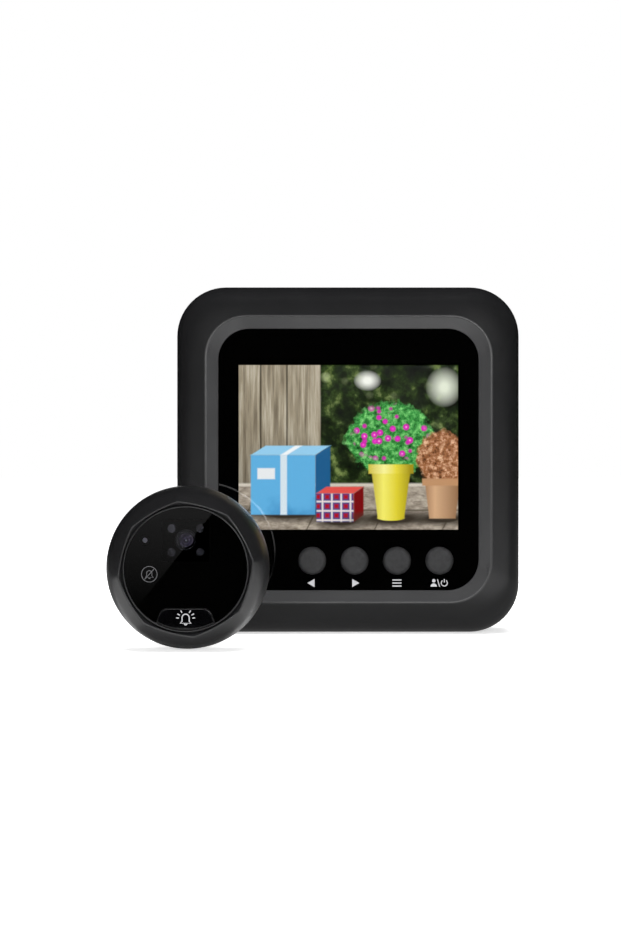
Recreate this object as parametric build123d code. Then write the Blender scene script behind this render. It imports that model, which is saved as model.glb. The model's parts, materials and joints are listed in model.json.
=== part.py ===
"""Peephole door camera: an indoor monitor on its door bracket, and the outdoor camera with its bell push.

The origin is on the peephole's axis, at the door's inner face. +X is to the right as seen from the room,
+Z is up, and the room is towards -Y. Depths are measured from the door into the room, so y is minus depth.
Lengths are in millimetres.
"""
import os
from math import cos, radians, sin

from build123d import *

# General clearances
overrun = 1.0
slide_gap = 0.3
seat_gap = 0.2
print_thickness = 0.1
hole_gap = 0.2
thread_gap = 0.05
window_gap = 0.1
lip_gap = 0.15

# Indoor monitor, outer form; its width and height follow from the screen outwards
monitor_corner_radius = 13.0
axis_above_centre = 18.0
door_gap = 0.8
parting_depth = 10.0
widest_depth = 14.0
crest_depth = 23.8
crest_corner_radius = 11.0
band_side = 7.75
band_level = 8.1
slope_side = 3.55
slope_level = 3.45
crest_land = 0.5
crest_rounding = 0.8
band_inset_shares = (0.0, 0.045, 0.19, 0.5, 1.0)
band_rise_shares = (0.0, 0.3, 0.58, 0.84, 1.0)
hollow_section_count = 3
case_wall = 2.0
back_wall = 2.0
back_rounding = 2.5
parting_step = 0.15
lip_height = 2.0
lip_wall = 1.0

# Display window, printed mask and screen
window_corner_radius = 8.1
window_depth = 22.0
window_thickness = 1.5
front_plate_thickness = 1.0
screen_width = 57.6
screen_height = 43.2
screen_side_margin = 5.3
screen_top_margin = 9.45
screen_bottom_margin = 15.85
screen_border = 0.4
panel_side_border = 5.8
panel_level_border = 3.0
panel_thickness = 2.3
tray_wall = 0.4
tray_floor = 0.3
tray_height = 2.3
foam_inset = 4.6
foam_band = 4.0

# Push buttons under the screen
button_count = 4
button_radius = 3.6
button_pitch = 11.1
last_button_inset = 5.0
button_below_screen = 8.1
button_proud = 0.5
button_dome = 0.3
button_travel = 0.5
button_flange_margin = 0.6
button_seat_gap = 0.3
press_clearance = 0.15
switch_size = 5.2
switch_body_height = 1.2
switch_plunger_radius = 1.5
switch_plunger_height = 0.5

# Main circuit board and what it carries
board_side_margin = 3.9
board_level_margin = 12.8
board_corner_radius = 3.0
board_front_depth = 16.0
board_thickness = 1.2
board_post_side_inset = 3.2
board_post_level_inset = 4.0
board_post_radius = 2.2
board_screw_radius = 0.8
board_screw_length = 3.4
board_screw_head_radius = 1.5
board_screw_head_height = 0.9
processor_size = 10.0
processor_height = 1.1
chip_x_shares = (-0.72, -0.72, 0.70, 0.50, -0.72)
chip_z_shares = (0.66, 0.30, 0.00, 0.55, 0.02)
chip_size_shares = (1.0, 0.6, 0.4, 0.4, 0.5)
chip_height_shares = (1.0, 0.8, 0.7, 0.7, 0.9)
socket_width = 14.0
socket_height = 4.6
socket_depth = 3.8
socket_wall = 0.8
socket_floor = 1.0
socket_below_axis = 6.0
speaker_radius = 6.5
speaker_rim = 1.2
speaker_rim_width = 1.2
speaker_depth = 4.2
speaker_cone_depth = 1.3
speaker_cone_sink = 0.6
speaker_magnet_radius = 4.0
speaker_pocket_gap = 0.6
speaker_above_axis = 2.0
grille_hole_radius = 0.7
grille_ring_radius = 3.4
grille_hole_count = 8

# Case screws and bosses
boss_inset = 7.0
boss_radius = 3.2
case_screw_radius = 1.0
case_screw_head_radius = 1.9
case_screw_head_height = 1.4
case_screw_sink = 1.0
case_screw_length = 14.5
recess_slot_width = 0.45
recess_depth_share = 0.55
recess_length_share = 1.2

# Battery compartment, cells and cover
cell_radius = 5.25
cell_length = 44.5
cell_count = 3
cell_rounding = 0.5
cell_gap = 0.6
terminal_radius = 1.9
terminal_height = 1.0
contact_reach = 3.2
contact_thickness = 0.4
contact_size = 8.6
contact_width = 5.8
contact_gap = 0.1
contact_top_share = 0.35
contact_foot_share = 0.8
battery_wall = 1.2
battery_floor = 1.0
battery_floor_depth = 13.4
battery_bottom_margin = 4.15
cover_thickness = 1.6
cover_land = 2.4
cover_travel = 6.0
cover_grip_count = 7
cover_grip_width = 0.7
cover_grip_pitch = 1.6
cover_grip_length = 12.0
cover_grip_depth = 0.35
ledge_thickness = 1.2

# Sliding tongues of the cover and of the bracket
tongue_length = 6.0
tongue_reach = 0.9
tongue_thickness = 0.7
cover_tongue_shares = (-0.72, 0.28)

# Door bracket, a pressed steel plate that the monitor hangs on
bracket_sheet = 1.2
bracket_width = 46.0
bracket_height = 32.0
bracket_panel_width = 36.0
bracket_corner_radius = 2.0
bracket_travel = 7.0
bracket_hole_radius = 7.6
bracket_screw_radius = 1.9
bracket_screw_x = 13.0
bracket_screw_z = 11.0
lip_thickness = 1.2
lip_start_z = (-15.5, 1.0)
pocket_rim = 1.5
cable_pocket_radius = 15.0
cable_pocket_depth = 11.8
cable_pocket_wall = 1.2

# Outdoor camera, outer form; depths from its seat on the door's outer face
outdoor_radius = 19.7
outdoor_overlap = 5.9
outdoor_seat_depth = 58.0
gasket_thickness = 0.8
gasket_inner_radius = 9.6
gasket_outer_radius = 13.4
plate_radius = 18.5
plate_thickness = 1.6
shell_back_depth = 1.2
shell_back_radius = 19.3
shell_wide_depth = 3.4
shell_shoulder_depth = 5.6
shell_shoulder_radius = 19.5
shell_ridge_depth = 13.0
ridge_corner_radius = 16.3
ridge_side_radius = 15.6
ridge_corner_count = 8
ridge_turn = 7.0
ridge_land = 0.35
recess_band_radius = 15.2
recess_band_depth = 12.0
glass_ring_radius = 14.9
glass_ring_depth = 12.5
shell_wall = 1.6
shell_swell_depth_share = 0.55
shell_swell_radius = 18.4
shell_swell_corner_share = 0.35

# Outdoor face glass, bell key and camera
glass_radius = 14.5
glass_depth = 12.3
glass_thickness = 1.5
face_wall = 1.2
key_top_below_axis = 9.2
key_top_half_width = 5.75
key_foot_half_width = 6.9
key_foot_below_axis = 12.4
key_corner_radius = 2.2
key_gap = 0.2
key_rim_gap = 0.3
key_travel = 0.5
key_post_half_width = 2.6
key_post_half_height = 1.1
key_post_below_axis = 11.4
key_flange_margin = 0.9
camera_above_axis = 6.8
camera_window_radius = 2.6
camera_barrel_radius = 2.45
camera_base_radius = 3.0
camera_base_height = 1.6
camera_glass_radius = 1.75
camera_glass_dome = 0.5
camera_glass_thickness = 0.7
camera_well_depth = 1.4
behind_glass_gap = 0.2
led_x = 3.4
led_z = 2.8
led_radius = 1.0
led_base_radius = 1.2
led_base_height = 1.0
light_sensor_x = -9.7
light_sensor_above_axis = 6.8
light_sensor_radius = 0.6
light_sensor_base_size = 1.8
light_sensor_base_height = 0.9
outdoor_board_radius = 15.4
outdoor_board_thickness = 1.0
outdoor_board_depth = 5.0
outdoor_post_radius = 1.5
outdoor_post_circle = 13.2
outdoor_post_angles = (20.0, 100.0, 200.0, 340.0)
outdoor_screw_radius = 0.7
outdoor_screw_length = 3.4
outdoor_screw_head_radius = 1.2
outdoor_screw_head_height = 0.7
bell_switch_width = 4.6
bell_switch_height = 3.4
bell_switch_body = 1.5
bell_switch_plunger_height = 0.5
bell_switch_plunger_radius = 1.0
outdoor_chip_size = 6.0
outdoor_chip_height = 0.9
outdoor_chip_x_shares = (-0.42, 0.42, 0.0)
outdoor_chip_z_shares = (0.42, 0.42, -0.62)
outdoor_socket_width = 9.0
outdoor_socket_height = 3.6
outdoor_socket_depth = 1.2

# Back screws of the outdoor camera
plate_screw_circle = 15.5
plate_screw_angles = (90.0, 210.0, 330.0)
plate_screw_radius = 0.9
plate_screw_head_radius = 1.6
plate_screw_head_height = 0.8
plate_screw_length = 4.4
plate_boss_radius = 1.9
plate_screw_sink = 0.1

# Threaded barrel through the door, with its washer and nut
barrel_radius = 7.0
barrel_bore_radius = 5.2
barrel_length = 30.0
barrel_tip_length = 1.0
barrel_tip_chamfer = 0.5
barrel_flange_radius = 9.4
barrel_flange_thickness = 1.2
spigot_radius = 7.4
thread_pitch = 1.5
thread_height = 0.55
thread_land = 0.25
washer_radius = 11.5
washer_thickness = 1.5
washer_rest_gap = 5.0
nut_sides = 6
nut_width = 19.0
nut_thickness = 4.5
nut_chamfer = 0.9
nut_washer_gap = 0.1

# Worked out from the sizes above
window_width = screen_width + 2 * screen_side_margin
window_height = screen_top_margin + screen_height + screen_bottom_margin
crest_width = window_width + 2 * slope_side
crest_height = window_height + 2 * slope_level
monitor_width = crest_width + 2 * band_side
monitor_height = crest_height + 2 * band_level
monitor_centre_z = -axis_above_centre
floor_z = monitor_centre_z - monitor_height / 2
outdoor_x = outdoor_overlap - monitor_width / 2
outdoor_z = floor_z + outdoor_radius
window_seat_depth = window_depth - window_thickness - print_thickness
front_plate_back = window_seat_depth - front_plate_thickness
screen_z = monitor_centre_z + (screen_bottom_margin - screen_top_margin) / 2
panel_width = screen_width + 2 * panel_side_border
panel_height = screen_height + 2 * panel_level_border
foam_width = panel_width - 2 * foam_inset
foam_height = panel_height - 2 * foam_inset
tray_back_depth = front_plate_back - panel_thickness - tray_floor
board_width = monitor_width - 2 * board_side_margin
board_height = monitor_height - 2 * board_level_margin
board_post_x = board_width / 2 - board_post_side_inset
board_post_z = board_height / 2 - board_post_level_inset
board_back_depth = board_front_depth - board_thickness
first_button_x = screen_width / 2 - last_button_inset - (button_count - 1) * button_pitch
button_z = screen_z - screen_height / 2 - button_below_screen
button_hole_radius = button_radius + hole_gap
plunger_top_depth = board_front_depth + switch_body_height + switch_plunger_height
button_back_depth = plunger_top_depth + button_travel + press_clearance
boss_x = monitor_width / 2 - boss_inset
boss_z = monitor_height / 2 - boss_inset
case_back_inner = door_gap + back_wall
lip_end_depth = parting_depth + lip_height
cell_pitch = 2 * cell_radius + cell_gap
battery_half_width = cell_length / 2 + contact_reach
battery_half_height = (cell_count - 1) * cell_pitch / 2 + cell_radius + cell_gap / 2
battery_z = floor_z + battery_bottom_margin + battery_half_height
cell_depth = battery_floor_depth - cell_radius - seat_gap
cover_half_width = battery_half_width + cover_land
cover_half_height = battery_half_height + tongue_reach - cell_gap / 2
cover_seat_depth = door_gap + cover_thickness + seat_gap
tongue_front_depth = door_gap + cover_thickness
tongue_back_depth = tongue_front_depth - tongue_thickness
bracket_step = door_gap + lip_thickness + seat_gap
pocket_half_width = bracket_width / 2 + slide_gap
speaker_x = pocket_half_width + pocket_rim + speaker_pocket_gap + speaker_radius
pocket_top = bracket_height / 2 + slide_gap
pocket_bottom = -bracket_height / 2 - bracket_travel - slide_gap
pocket_depth = bracket_step + bracket_sheet + seat_gap
lip_back_depth = door_gap
lip_front_depth = door_gap + lip_thickness
lip_inner_x = bracket_panel_width / 2 + slide_gap
pocket_floor_front = pocket_depth + pocket_rim
glass_seat_depth = glass_depth - glass_thickness
face_back_depth = glass_seat_depth - print_thickness - face_wall
outdoor_board_front = outdoor_board_depth + outdoor_board_thickness
camera_front_depth = glass_seat_depth - behind_glass_gap
key_plunger_top = outdoor_board_front + bell_switch_body + bell_switch_plunger_height
key_flange_back = key_plunger_top + key_travel + press_clearance
key_plate_back = glass_seat_depth - print_thickness + key_travel + press_clearance
key_rim_radius = glass_radius + window_gap - key_rim_gap
plate_front_depth = gasket_thickness + plate_thickness


def front_plane(depth):
    """The plane at this depth from the door, seen from the room, with x to the right and z up."""
    return Plane(origin=(0, -depth, 0), x_dir=(1, 0, 0), z_dir=(0, -1, 0))


def slab(sketch, back, front):
    """A flat piece with this outline, from its back depth to its front depth."""
    return extrude(front_plane(back) * sketch, amount=front - back, dir=(0, -1, 0))


def disc(radius, back, front, x=0.0, z=0.0):
    """A round piece across the depth direction."""
    return slab(Pos(x, z) * Circle(radius), back, front)


def block(low_x, high_x, low_z, high_z, back, front):
    """A rectangular piece between these sides."""
    centre = Pos((low_x + high_x) / 2, (low_z + high_z) / 2)
    return slab(centre * Rectangle(high_x - low_x, high_z - low_z), back, front)


def turned(points, x=0.0, z=0.0):
    """A piece turned about the depth direction, from its outline as pairs of radius and depth."""
    outline = Polygon(*[(radius, -depth) for radius, depth in points], align=None)
    return Pos(x, 0, z) * revolve(outline, Axis.Y)


def dome_arc(radius, rim, rise):
    """The arc from a round rim to its top on the axis, as a cap of one sphere."""
    sphere = (radius ** 2 + rise ** 2) / (2 * rise)
    middle = radius / 2
    height = (sphere ** 2 - middle ** 2) ** 0.5 - (sphere - rise)
    return ThreePointArc((radius, -rim), (middle, -rim - height), (0, -rim - rise))


def on_circle(radius, angle):
    """The point at this angle on a circle, counted from +X towards +Z."""
    return radius * cos(radians(angle)), radius * sin(radians(angle))


def four_corners(x, z):
    """The four corners of a rectangle about the monitor's centre."""
    return [(side * x, monitor_centre_z + level * z) for side in (-1, 1) for level in (-1, 1)]


def cross_recess(head_radius, head_height, back):
    """The cross that a screwdriver fits, cut in a screw's head."""
    length = head_radius * recess_length_share
    depth = head_height * recess_depth_share
    bar = Rectangle(length, recess_slot_width)
    return slab(bar + Rot(0, 0, 90) * bar, back - overrun, back + depth)


def screw(head_radius, head_height, radius, length, back, x, z):
    """A pan-head screw whose head has its top at this depth and whose shank runs forwards."""
    head = disc(head_radius, back, back + head_height)
    head = fillet(head.edges().sort_by(Axis.Y)[-1], head_height / 2)
    shank = disc(radius, back + head_height, back + head_height + length)
    body = head + shank - cross_recess(head_radius, head_height, back)
    return Pos(x, 0, z) * body


def monitor_outline(width, height, radius):
    """A rounded rectangle about the monitor's centre."""
    return Pos(0, monitor_centre_z) * RectangleRounded(width, height, radius)


def band_outline(share, inset=0.0):
    """The outline between the widest line and the crest, by the share of the way to the crest."""
    width = monitor_width + (crest_width - monitor_width) * share
    height = monitor_height + (crest_height - monitor_height) * share
    radius = monitor_corner_radius + (crest_corner_radius - monitor_corner_radius) * share
    return monitor_outline(width - 2 * inset, height - 2 * inset, radius - inset)


def band_depth(share):
    """The depth at this share of the rise from the widest line to the crest."""
    return widest_depth + (crest_depth - widest_depth) * share


def band_sections(count, inset=0.0):
    """The first sections of the sloping band, moved inwards by the inset."""
    shares = list(zip(band_inset_shares, band_rise_shares))[:count]
    return [front_plane(band_depth(rise)) * band_outline(share, inset) for share, rise in shares]


def window_outline(clearance=0.0):
    """The display window's outline, less a clearance all round."""
    return monitor_outline(
        window_width - 2 * clearance,
        window_height - 2 * clearance,
        window_corner_radius - clearance,
    )


def button_places():
    """The centres of the push buttons, from left to right."""
    return [(first_button_x + number * button_pitch, button_z) for number in range(button_count)]


def screen_opening(border=0.0):
    """The opening over the lit part of the screen."""
    return Pos(0, screen_z) * Rectangle(screen_width + 2 * border, screen_height + 2 * border)


def button_holes(radius):
    """Round holes for the push buttons, as one sketch."""
    return Sketch() + [Pos(x, z) * Circle(radius) for x, z in button_places()]


def bezel_outer():
    """The bezel's outer form as a solid: the side wall and the sloping band up to the crest."""
    wall = slab(band_outline(0.0), parting_depth, widest_depth)
    band = loft(band_sections(len(band_rise_shares)))
    return wall + band


def make_front_bezel():
    """The moulded front shell with its crest, its inner slope, the window seat, bosses and board posts."""
    outer = bezel_outer()
    land_outline = monitor_outline(
        crest_width - 2 * crest_land, crest_height - 2 * crest_land, crest_corner_radius - crest_land
    )
    slope_ends = [front_plane(crest_depth) * land_outline, front_plane(window_depth) * window_outline()]
    slope = loft(slope_ends, ruled=True)
    body = outer - slope
    body = fillet(body.edges().group_by(Axis.Y)[0], crest_rounding)
    body -= slab(window_outline(), window_seat_depth, window_depth)
    last_inset = band_inset_shares[hollow_section_count - 1]
    last_depth = band_depth(band_rise_shares[hollow_section_count - 1])
    hollow = slab(band_outline(0.0, case_wall), parting_depth - overrun, widest_depth)
    hollow += loft(band_sections(hollow_section_count, case_wall))
    hollow += slab(band_outline(last_inset, case_wall), last_depth, crest_depth)
    hollow -= slab(band_outline(0.0), front_plate_back, crest_depth + overrun)
    bosses = Part() + [
        disc(boss_radius, lip_end_depth, crest_depth, x, z)
        for x, z in four_corners(boss_x, boss_z)
    ]
    posts = Part() + [
        disc(board_post_radius, board_front_depth, crest_depth, x, z)
        for x, z in four_corners(board_post_x, board_post_z)
    ]
    body -= hollow
    body += (bosses + posts) & (outer - slab(window_outline(), front_plate_back, crest_depth + overrun))
    plate_holes = screen_opening(screen_border) + button_holes(button_hole_radius)
    body -= slab(plate_holes, front_plate_back - overrun, window_depth)
    screw_end = door_gap + case_screw_sink + case_screw_head_height + case_screw_length
    for x, z in four_corners(boss_x, boss_z):
        body -= disc(case_screw_radius + thread_gap, parting_depth - overrun, screw_end + seat_gap, x, z)
    post_end = board_back_depth + board_screw_length
    for x, z in four_corners(board_post_x, board_post_z):
        body -= disc(board_screw_radius + thread_gap, board_front_depth - overrun, post_end + seat_gap, x, z)
    return body


def window_shape(back, front):
    """A sheet of the display window's outline with the holes for the keys."""
    return slab(window_outline(window_gap) - button_holes(button_hole_radius), back, front)


def make_display_window():
    """The clear acrylic window over the screen."""
    return window_shape(window_depth - window_thickness, window_depth)


def make_window_print():
    """The black print on the window's back, open over the lit part of the screen."""
    opening = slab(screen_opening(), window_seat_depth - overrun, window_depth)
    return window_shape(window_seat_depth, window_seat_depth + print_thickness) - opening


def screen_rectangle(width, height):
    """A rectangle about the screen's centre."""
    return Pos(0, screen_z) * Rectangle(width, height)


def make_screen_panel():
    """The screen's glass and its light, as one flat panel."""
    outline = screen_rectangle(panel_width, panel_height)
    return slab(outline, front_plate_back - panel_thickness, front_plate_back)


def make_screen_tray():
    """The thin steel tray that holds the screen panel."""
    outside = screen_rectangle(panel_width + 2 * tray_wall, panel_height + 2 * tray_wall)
    inside = screen_rectangle(panel_width, panel_height)
    tray = slab(outside, tray_back_depth, tray_back_depth + tray_height)
    return tray - slab(inside, tray_back_depth + tray_floor, front_plate_back)


def make_screen_foam():
    """The foam frame between the tray and the main board."""
    outside = screen_rectangle(foam_width, foam_height)
    inside = screen_rectangle(foam_width - 2 * foam_band, foam_height - 2 * foam_band)
    return slab(outside - inside, board_front_depth, tray_back_depth)


def make_main_board():
    """The main circuit board, screwed to four posts of the bezel."""
    outline = monitor_outline(board_width, board_height, board_corner_radius)
    holes = Sketch() + [
        Pos(x, z) * Circle(board_screw_radius + thread_gap)
        for x, z in four_corners(board_post_x, board_post_z)
    ]
    return slab(outline - holes, board_back_depth, board_front_depth)


def make_board_chips():
    """The processor, memory and other chips on the board's back, as separate solids."""
    chips = []
    table = zip(chip_x_shares, chip_z_shares, chip_size_shares, chip_height_shares)
    for x, z, size, height in table:
        centre_x = x * board_width / 2
        centre_z = monitor_centre_z + z * board_height / 2
        outline = Pos(centre_x, centre_z) * Rectangle(processor_size * size, processor_size * size)
        chips.append(slab(outline, board_back_depth - processor_height * height, board_back_depth))
    return Compound(children=chips)


def make_tact_switches():
    """The four switches behind the keys, as separate solids."""
    switches = []
    body_top = board_front_depth + switch_body_height
    for x, z in button_places():
        body = slab(Pos(x, z) * Rectangle(switch_size, switch_size), board_front_depth, body_top)
        switches.append(body + disc(switch_plunger_radius, body_top, plunger_top_depth, x, z))
    return Compound(children=switches)


def make_board_screws():
    """The four screws that hold the main board, as separate solids."""
    back = board_back_depth - board_screw_head_height
    head = (board_screw_head_radius, board_screw_head_height)
    return Compound(children=[
        screw(*head, board_screw_radius, board_screw_length, back, x, z)
        for x, z in four_corners(board_post_x, board_post_z)
    ])


def make_ribbon_socket():
    """The socket on the board's back that takes the outdoor camera's ribbon."""
    centre = Pos(0, -socket_below_axis)
    back = board_back_depth - socket_depth
    body = slab(centre * Rectangle(socket_width, socket_height), back, board_back_depth)
    inside = Rectangle(socket_width - 2 * socket_wall, socket_height - 2 * socket_wall)
    return body - slab(centre * inside, back - overrun, board_back_depth - socket_floor)


def make_speaker():
    """The small round speaker behind the grille, with its cone open to the back."""
    back = case_back_inner
    cone_edge = speaker_radius - speaker_rim_width
    return turned(
        [
            (0, back + speaker_cone_depth),
            (cone_edge, back + speaker_cone_sink),
            (cone_edge, back),
            (speaker_radius, back),
            (speaker_radius, back + speaker_rim),
            (speaker_magnet_radius, back + speaker_rim + speaker_cone_depth),
            (speaker_magnet_radius, back + speaker_depth),
            (0, back + speaker_depth),
        ],
        speaker_x,
        speaker_above_axis,
    )


def make_push_button(x, z):
    """A round key with a domed top and a flange behind the front plate."""
    flange_front = front_plate_back - button_seat_gap
    flange_radius = button_radius + button_flange_margin
    top = window_depth + button_proud
    outline = (
        Line((0, -button_back_depth), (flange_radius, -button_back_depth))
        + Line((flange_radius, -button_back_depth), (flange_radius, -flange_front))
        + Line((flange_radius, -flange_front), (button_radius, -flange_front))
        + Line((button_radius, -flange_front), (button_radius, -top))
    )
    dome = dome_arc(button_radius, top, button_dome)
    axis_line = Line((0, -top - button_dome), (0, -button_back_depth))
    return Pos(x, 0, z) * revolve(make_face(outline + dome + axis_line), Axis.Y)


def rear_block(low_x, high_x, low_z, high_z, front):
    """A block that grows forwards from the rear case's back wall."""
    return block(low_x, high_x, low_z, high_z, door_gap + back_wall / 2, front)


def bracket_lips():
    """The four lips of the rear case that the bracket's flanges slide behind."""
    lips = []
    for start in lip_start_z:
        outer = pocket_half_width + pocket_rim
        end = start + tongue_length
        lips.append(block(-outer, -lip_inner_x, start, end, lip_back_depth, lip_front_depth))
        lips.append(block(lip_inner_x, outer, start, end, lip_back_depth, lip_front_depth))
    return Part() + lips


def cover_tongue_places():
    """Where each tongue of the battery cover starts along x."""
    return [share * cover_half_width for share in cover_tongue_shares]


def cover_tongue_slots():
    """The undercuts for the cover's tongues, and the notches that free them after the cover's travel."""
    half_height = cover_half_height + tongue_reach + slide_gap
    slots = []
    for start in cover_tongue_places():
        end = start + tongue_length
        low_z = battery_z - half_height
        high_z = battery_z + half_height
        slots.append(
            block(
                start - slide_gap,
                end + slide_gap,
                low_z,
                high_z,
                tongue_back_depth - seat_gap,
                cover_seat_depth,
            )
        )
        slots.append(
            block(
                start + cover_travel - slide_gap,
                end + cover_travel + slide_gap,
                low_z,
                high_z,
                door_gap - overrun,
                cover_seat_depth,
            )
        )
    return Part() + slots


def rear_case_shell():
    """The rear case's outer wall and back, with the lip that fits inside the bezel."""
    shell = slab(band_outline(0.0, parting_step), door_gap, parting_depth)
    shell = fillet(shell.edges().group_by(Axis.Y)[-1], back_rounding)
    lip_outside = case_wall + lip_gap
    inside = band_outline(0.0, lip_outside + lip_wall)
    root = slab(band_outline(0.0, case_wall / 2) - inside, parting_depth - lip_height, parting_depth)
    lip = slab(band_outline(0.0, lip_outside) - inside, parting_depth, lip_end_depth)
    hollow = slab(band_outline(0.0, case_wall), case_back_inner, parting_depth + overrun)
    return shell - hollow + root + lip


def rear_case_blocks():
    """What stands inside the rear case: the pockets' walls, the battery box and the screw bosses."""
    rim_x = pocket_half_width + pocket_rim
    cover_rim = slide_gap + pocket_rim
    ledge_top = cover_half_height + tongue_reach + cover_rim
    cable_wall_radius = cable_pocket_radius + cable_pocket_wall
    cable_wall = disc(cable_wall_radius, case_back_inner, cable_pocket_depth + cable_pocket_wall)
    box_x = battery_half_width + battery_wall
    box_z = battery_half_height + battery_wall
    inside = slab(band_outline(0.0, case_wall + lip_gap), 0, battery_floor_depth + battery_floor)
    bosses = [
        disc(boss_radius, door_gap + back_wall / 2, lip_end_depth, x, z)
        for x, z in four_corners(boss_x, boss_z)
    ]
    blocks = Part() + [
        rear_block(-rim_x, rim_x, pocket_bottom - pocket_rim, pocket_top + pocket_rim, pocket_floor_front),
        rear_block(-box_x, box_x, battery_z - box_z, battery_z + box_z, battery_floor_depth + battery_floor),
        rear_block(
            -cover_half_width - cover_rim,
            cover_half_width + cover_travel + cover_rim,
            battery_z - ledge_top,
            battery_z + ledge_top,
            cover_seat_depth + ledge_thickness,
        ),
        cable_wall,
    ]
    return (blocks + bosses) & inside


def rear_case_cuts():
    """What is cut from the rear case: pockets, battery opening, cover recess, grille and screw holes."""
    socket_x = socket_width / 2 + slide_gap
    socket_z = socket_height / 2 + slide_gap
    cover_z = cover_half_height + slide_gap
    head_depth = door_gap + case_screw_sink + case_screw_head_height
    back = door_gap - overrun
    front = case_back_inner + overrun
    cuts = [
        block(-pocket_half_width, pocket_half_width, pocket_bottom, pocket_top, back, pocket_depth),
        disc(cable_pocket_radius, pocket_depth - overrun, cable_pocket_depth),
        block(
            -socket_x,
            socket_x,
            -socket_below_axis - socket_z,
            -socket_below_axis + socket_z,
            cable_pocket_depth - overrun,
            cable_pocket_depth + cable_pocket_wall + overrun,
        ),
        block(
            -battery_half_width,
            battery_half_width,
            battery_z - battery_half_height,
            battery_z + battery_half_height,
            door_gap - overrun,
            battery_floor_depth,
        ),
        block(
            -cover_half_width - slide_gap,
            cover_half_width + cover_travel + slide_gap,
            battery_z - cover_z,
            battery_z + cover_z,
            door_gap - overrun,
            cover_seat_depth,
        ),
        cover_tongue_slots(),
    ]
    grille = [(0, 0)]
    for step in range(grille_hole_count):
        grille.append(on_circle(grille_ring_radius, 360 * step / grille_hole_count))
    for x, z in grille:
        cuts.append(disc(grille_hole_radius, back, front, speaker_x + x, speaker_above_axis + z))
    for x, z in four_corners(boss_x, boss_z):
        cuts.append(disc(case_screw_head_radius + hole_gap, door_gap - overrun, head_depth, x, z))
        cuts.append(disc(case_screw_radius + hole_gap, head_depth - overrun, lip_end_depth + overrun, x, z))
    return Part() + cuts


def make_rear_case():
    """The moulded rear shell: bracket pocket, cable pocket, battery box, screw bosses and speaker grille."""
    return rear_case_shell() + rear_case_blocks() - rear_case_cuts() + bracket_lips()


def make_battery_cells():
    """Three slim cells side by side, every second one turned round, as separate solids."""
    cells = []
    can_length = cell_length - terminal_height
    for number in range(cell_count):
        z = battery_z + (number - (cell_count - 1) / 2) * cell_pitch
        side = 1 if number % 2 == 0 else -1
        can = Cylinder(cell_radius, can_length)
        can = fillet(can.edges(), cell_rounding)
        cell = can + Pos(0, 0, cell_length / 2) * Cylinder(terminal_radius, terminal_height)
        turn = Rot(0, 90 * side, 0)
        cells.append(Pos(-side * terminal_height / 2, -cell_depth, z) * turn * cell)
    return Compound(children=cells)


def contact_profile(side):
    """One contact's bent strip, drawn from the battery box's end wall inwards."""
    half = contact_size / 2
    reach = contact_reach - contact_gap
    top = half * contact_top_share
    foot = half * contact_foot_share
    inner_reach = reach - contact_thickness
    inner_top = top - contact_thickness / 2
    wall = side * battery_half_width
    face = wall - side * contact_thickness
    tip = wall - side * reach
    inner_tip = wall - side * inner_reach
    plate = Polygon((wall, -half), (wall, half), (face, half), (face, -half), align=None)
    bow = Polygon(
        (wall, -half), (wall, half), (face, half), (tip, top), (tip, -top), (face, -half),
        align=None,
    )
    hollow = Polygon(
        (face, foot), (inner_tip, inner_top), (inner_tip, -inner_top), (face, -foot),
        align=None,
    )
    return plate + (bow - hollow)


def make_battery_contacts():
    """The spring contacts at both ends of each cell, as separate solids."""
    contacts = []
    for number in range(cell_count):
        z = battery_z + (number - (cell_count - 1) / 2) * cell_pitch
        for side in (-1, 1):
            profile = Pos(0, z) * contact_profile(side)
            contacts.append(slab(profile, cell_depth - contact_width / 2, cell_depth + contact_width / 2))
    return Compound(children=contacts)


def make_battery_cover():
    """The sliding battery cover with its four tongues and its grip grooves."""
    outline = Pos(0, battery_z) * Rectangle(2 * cover_half_width, 2 * cover_half_height)
    plate = slab(outline, door_gap, tongue_front_depth)
    reach = cover_half_height + tongue_reach
    for start in cover_tongue_places():
        end = start + tongue_length
        low_z = battery_z - reach
        high_z = battery_z + reach
        plate += block(start, end, low_z, high_z, tongue_back_depth, tongue_front_depth)
    for number in range(cover_grip_count):
        x = cover_half_width - cover_land - number * cover_grip_pitch
        groove = Pos(x, battery_z) * SlotOverall(cover_grip_length, cover_grip_width, rotation=90)
        plate -= slab(groove, door_gap - overrun, door_gap + cover_grip_depth)
    return plate


def make_case_screws():
    """The four long screws through the rear case into the bezel, as separate solids."""
    back = door_gap + case_screw_sink
    head = (case_screw_head_radius, case_screw_head_height)
    return Compound(children=[
        screw(*head, case_screw_radius, case_screw_length, back, x, z)
        for x, z in four_corners(boss_x, boss_z)
    ])


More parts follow.
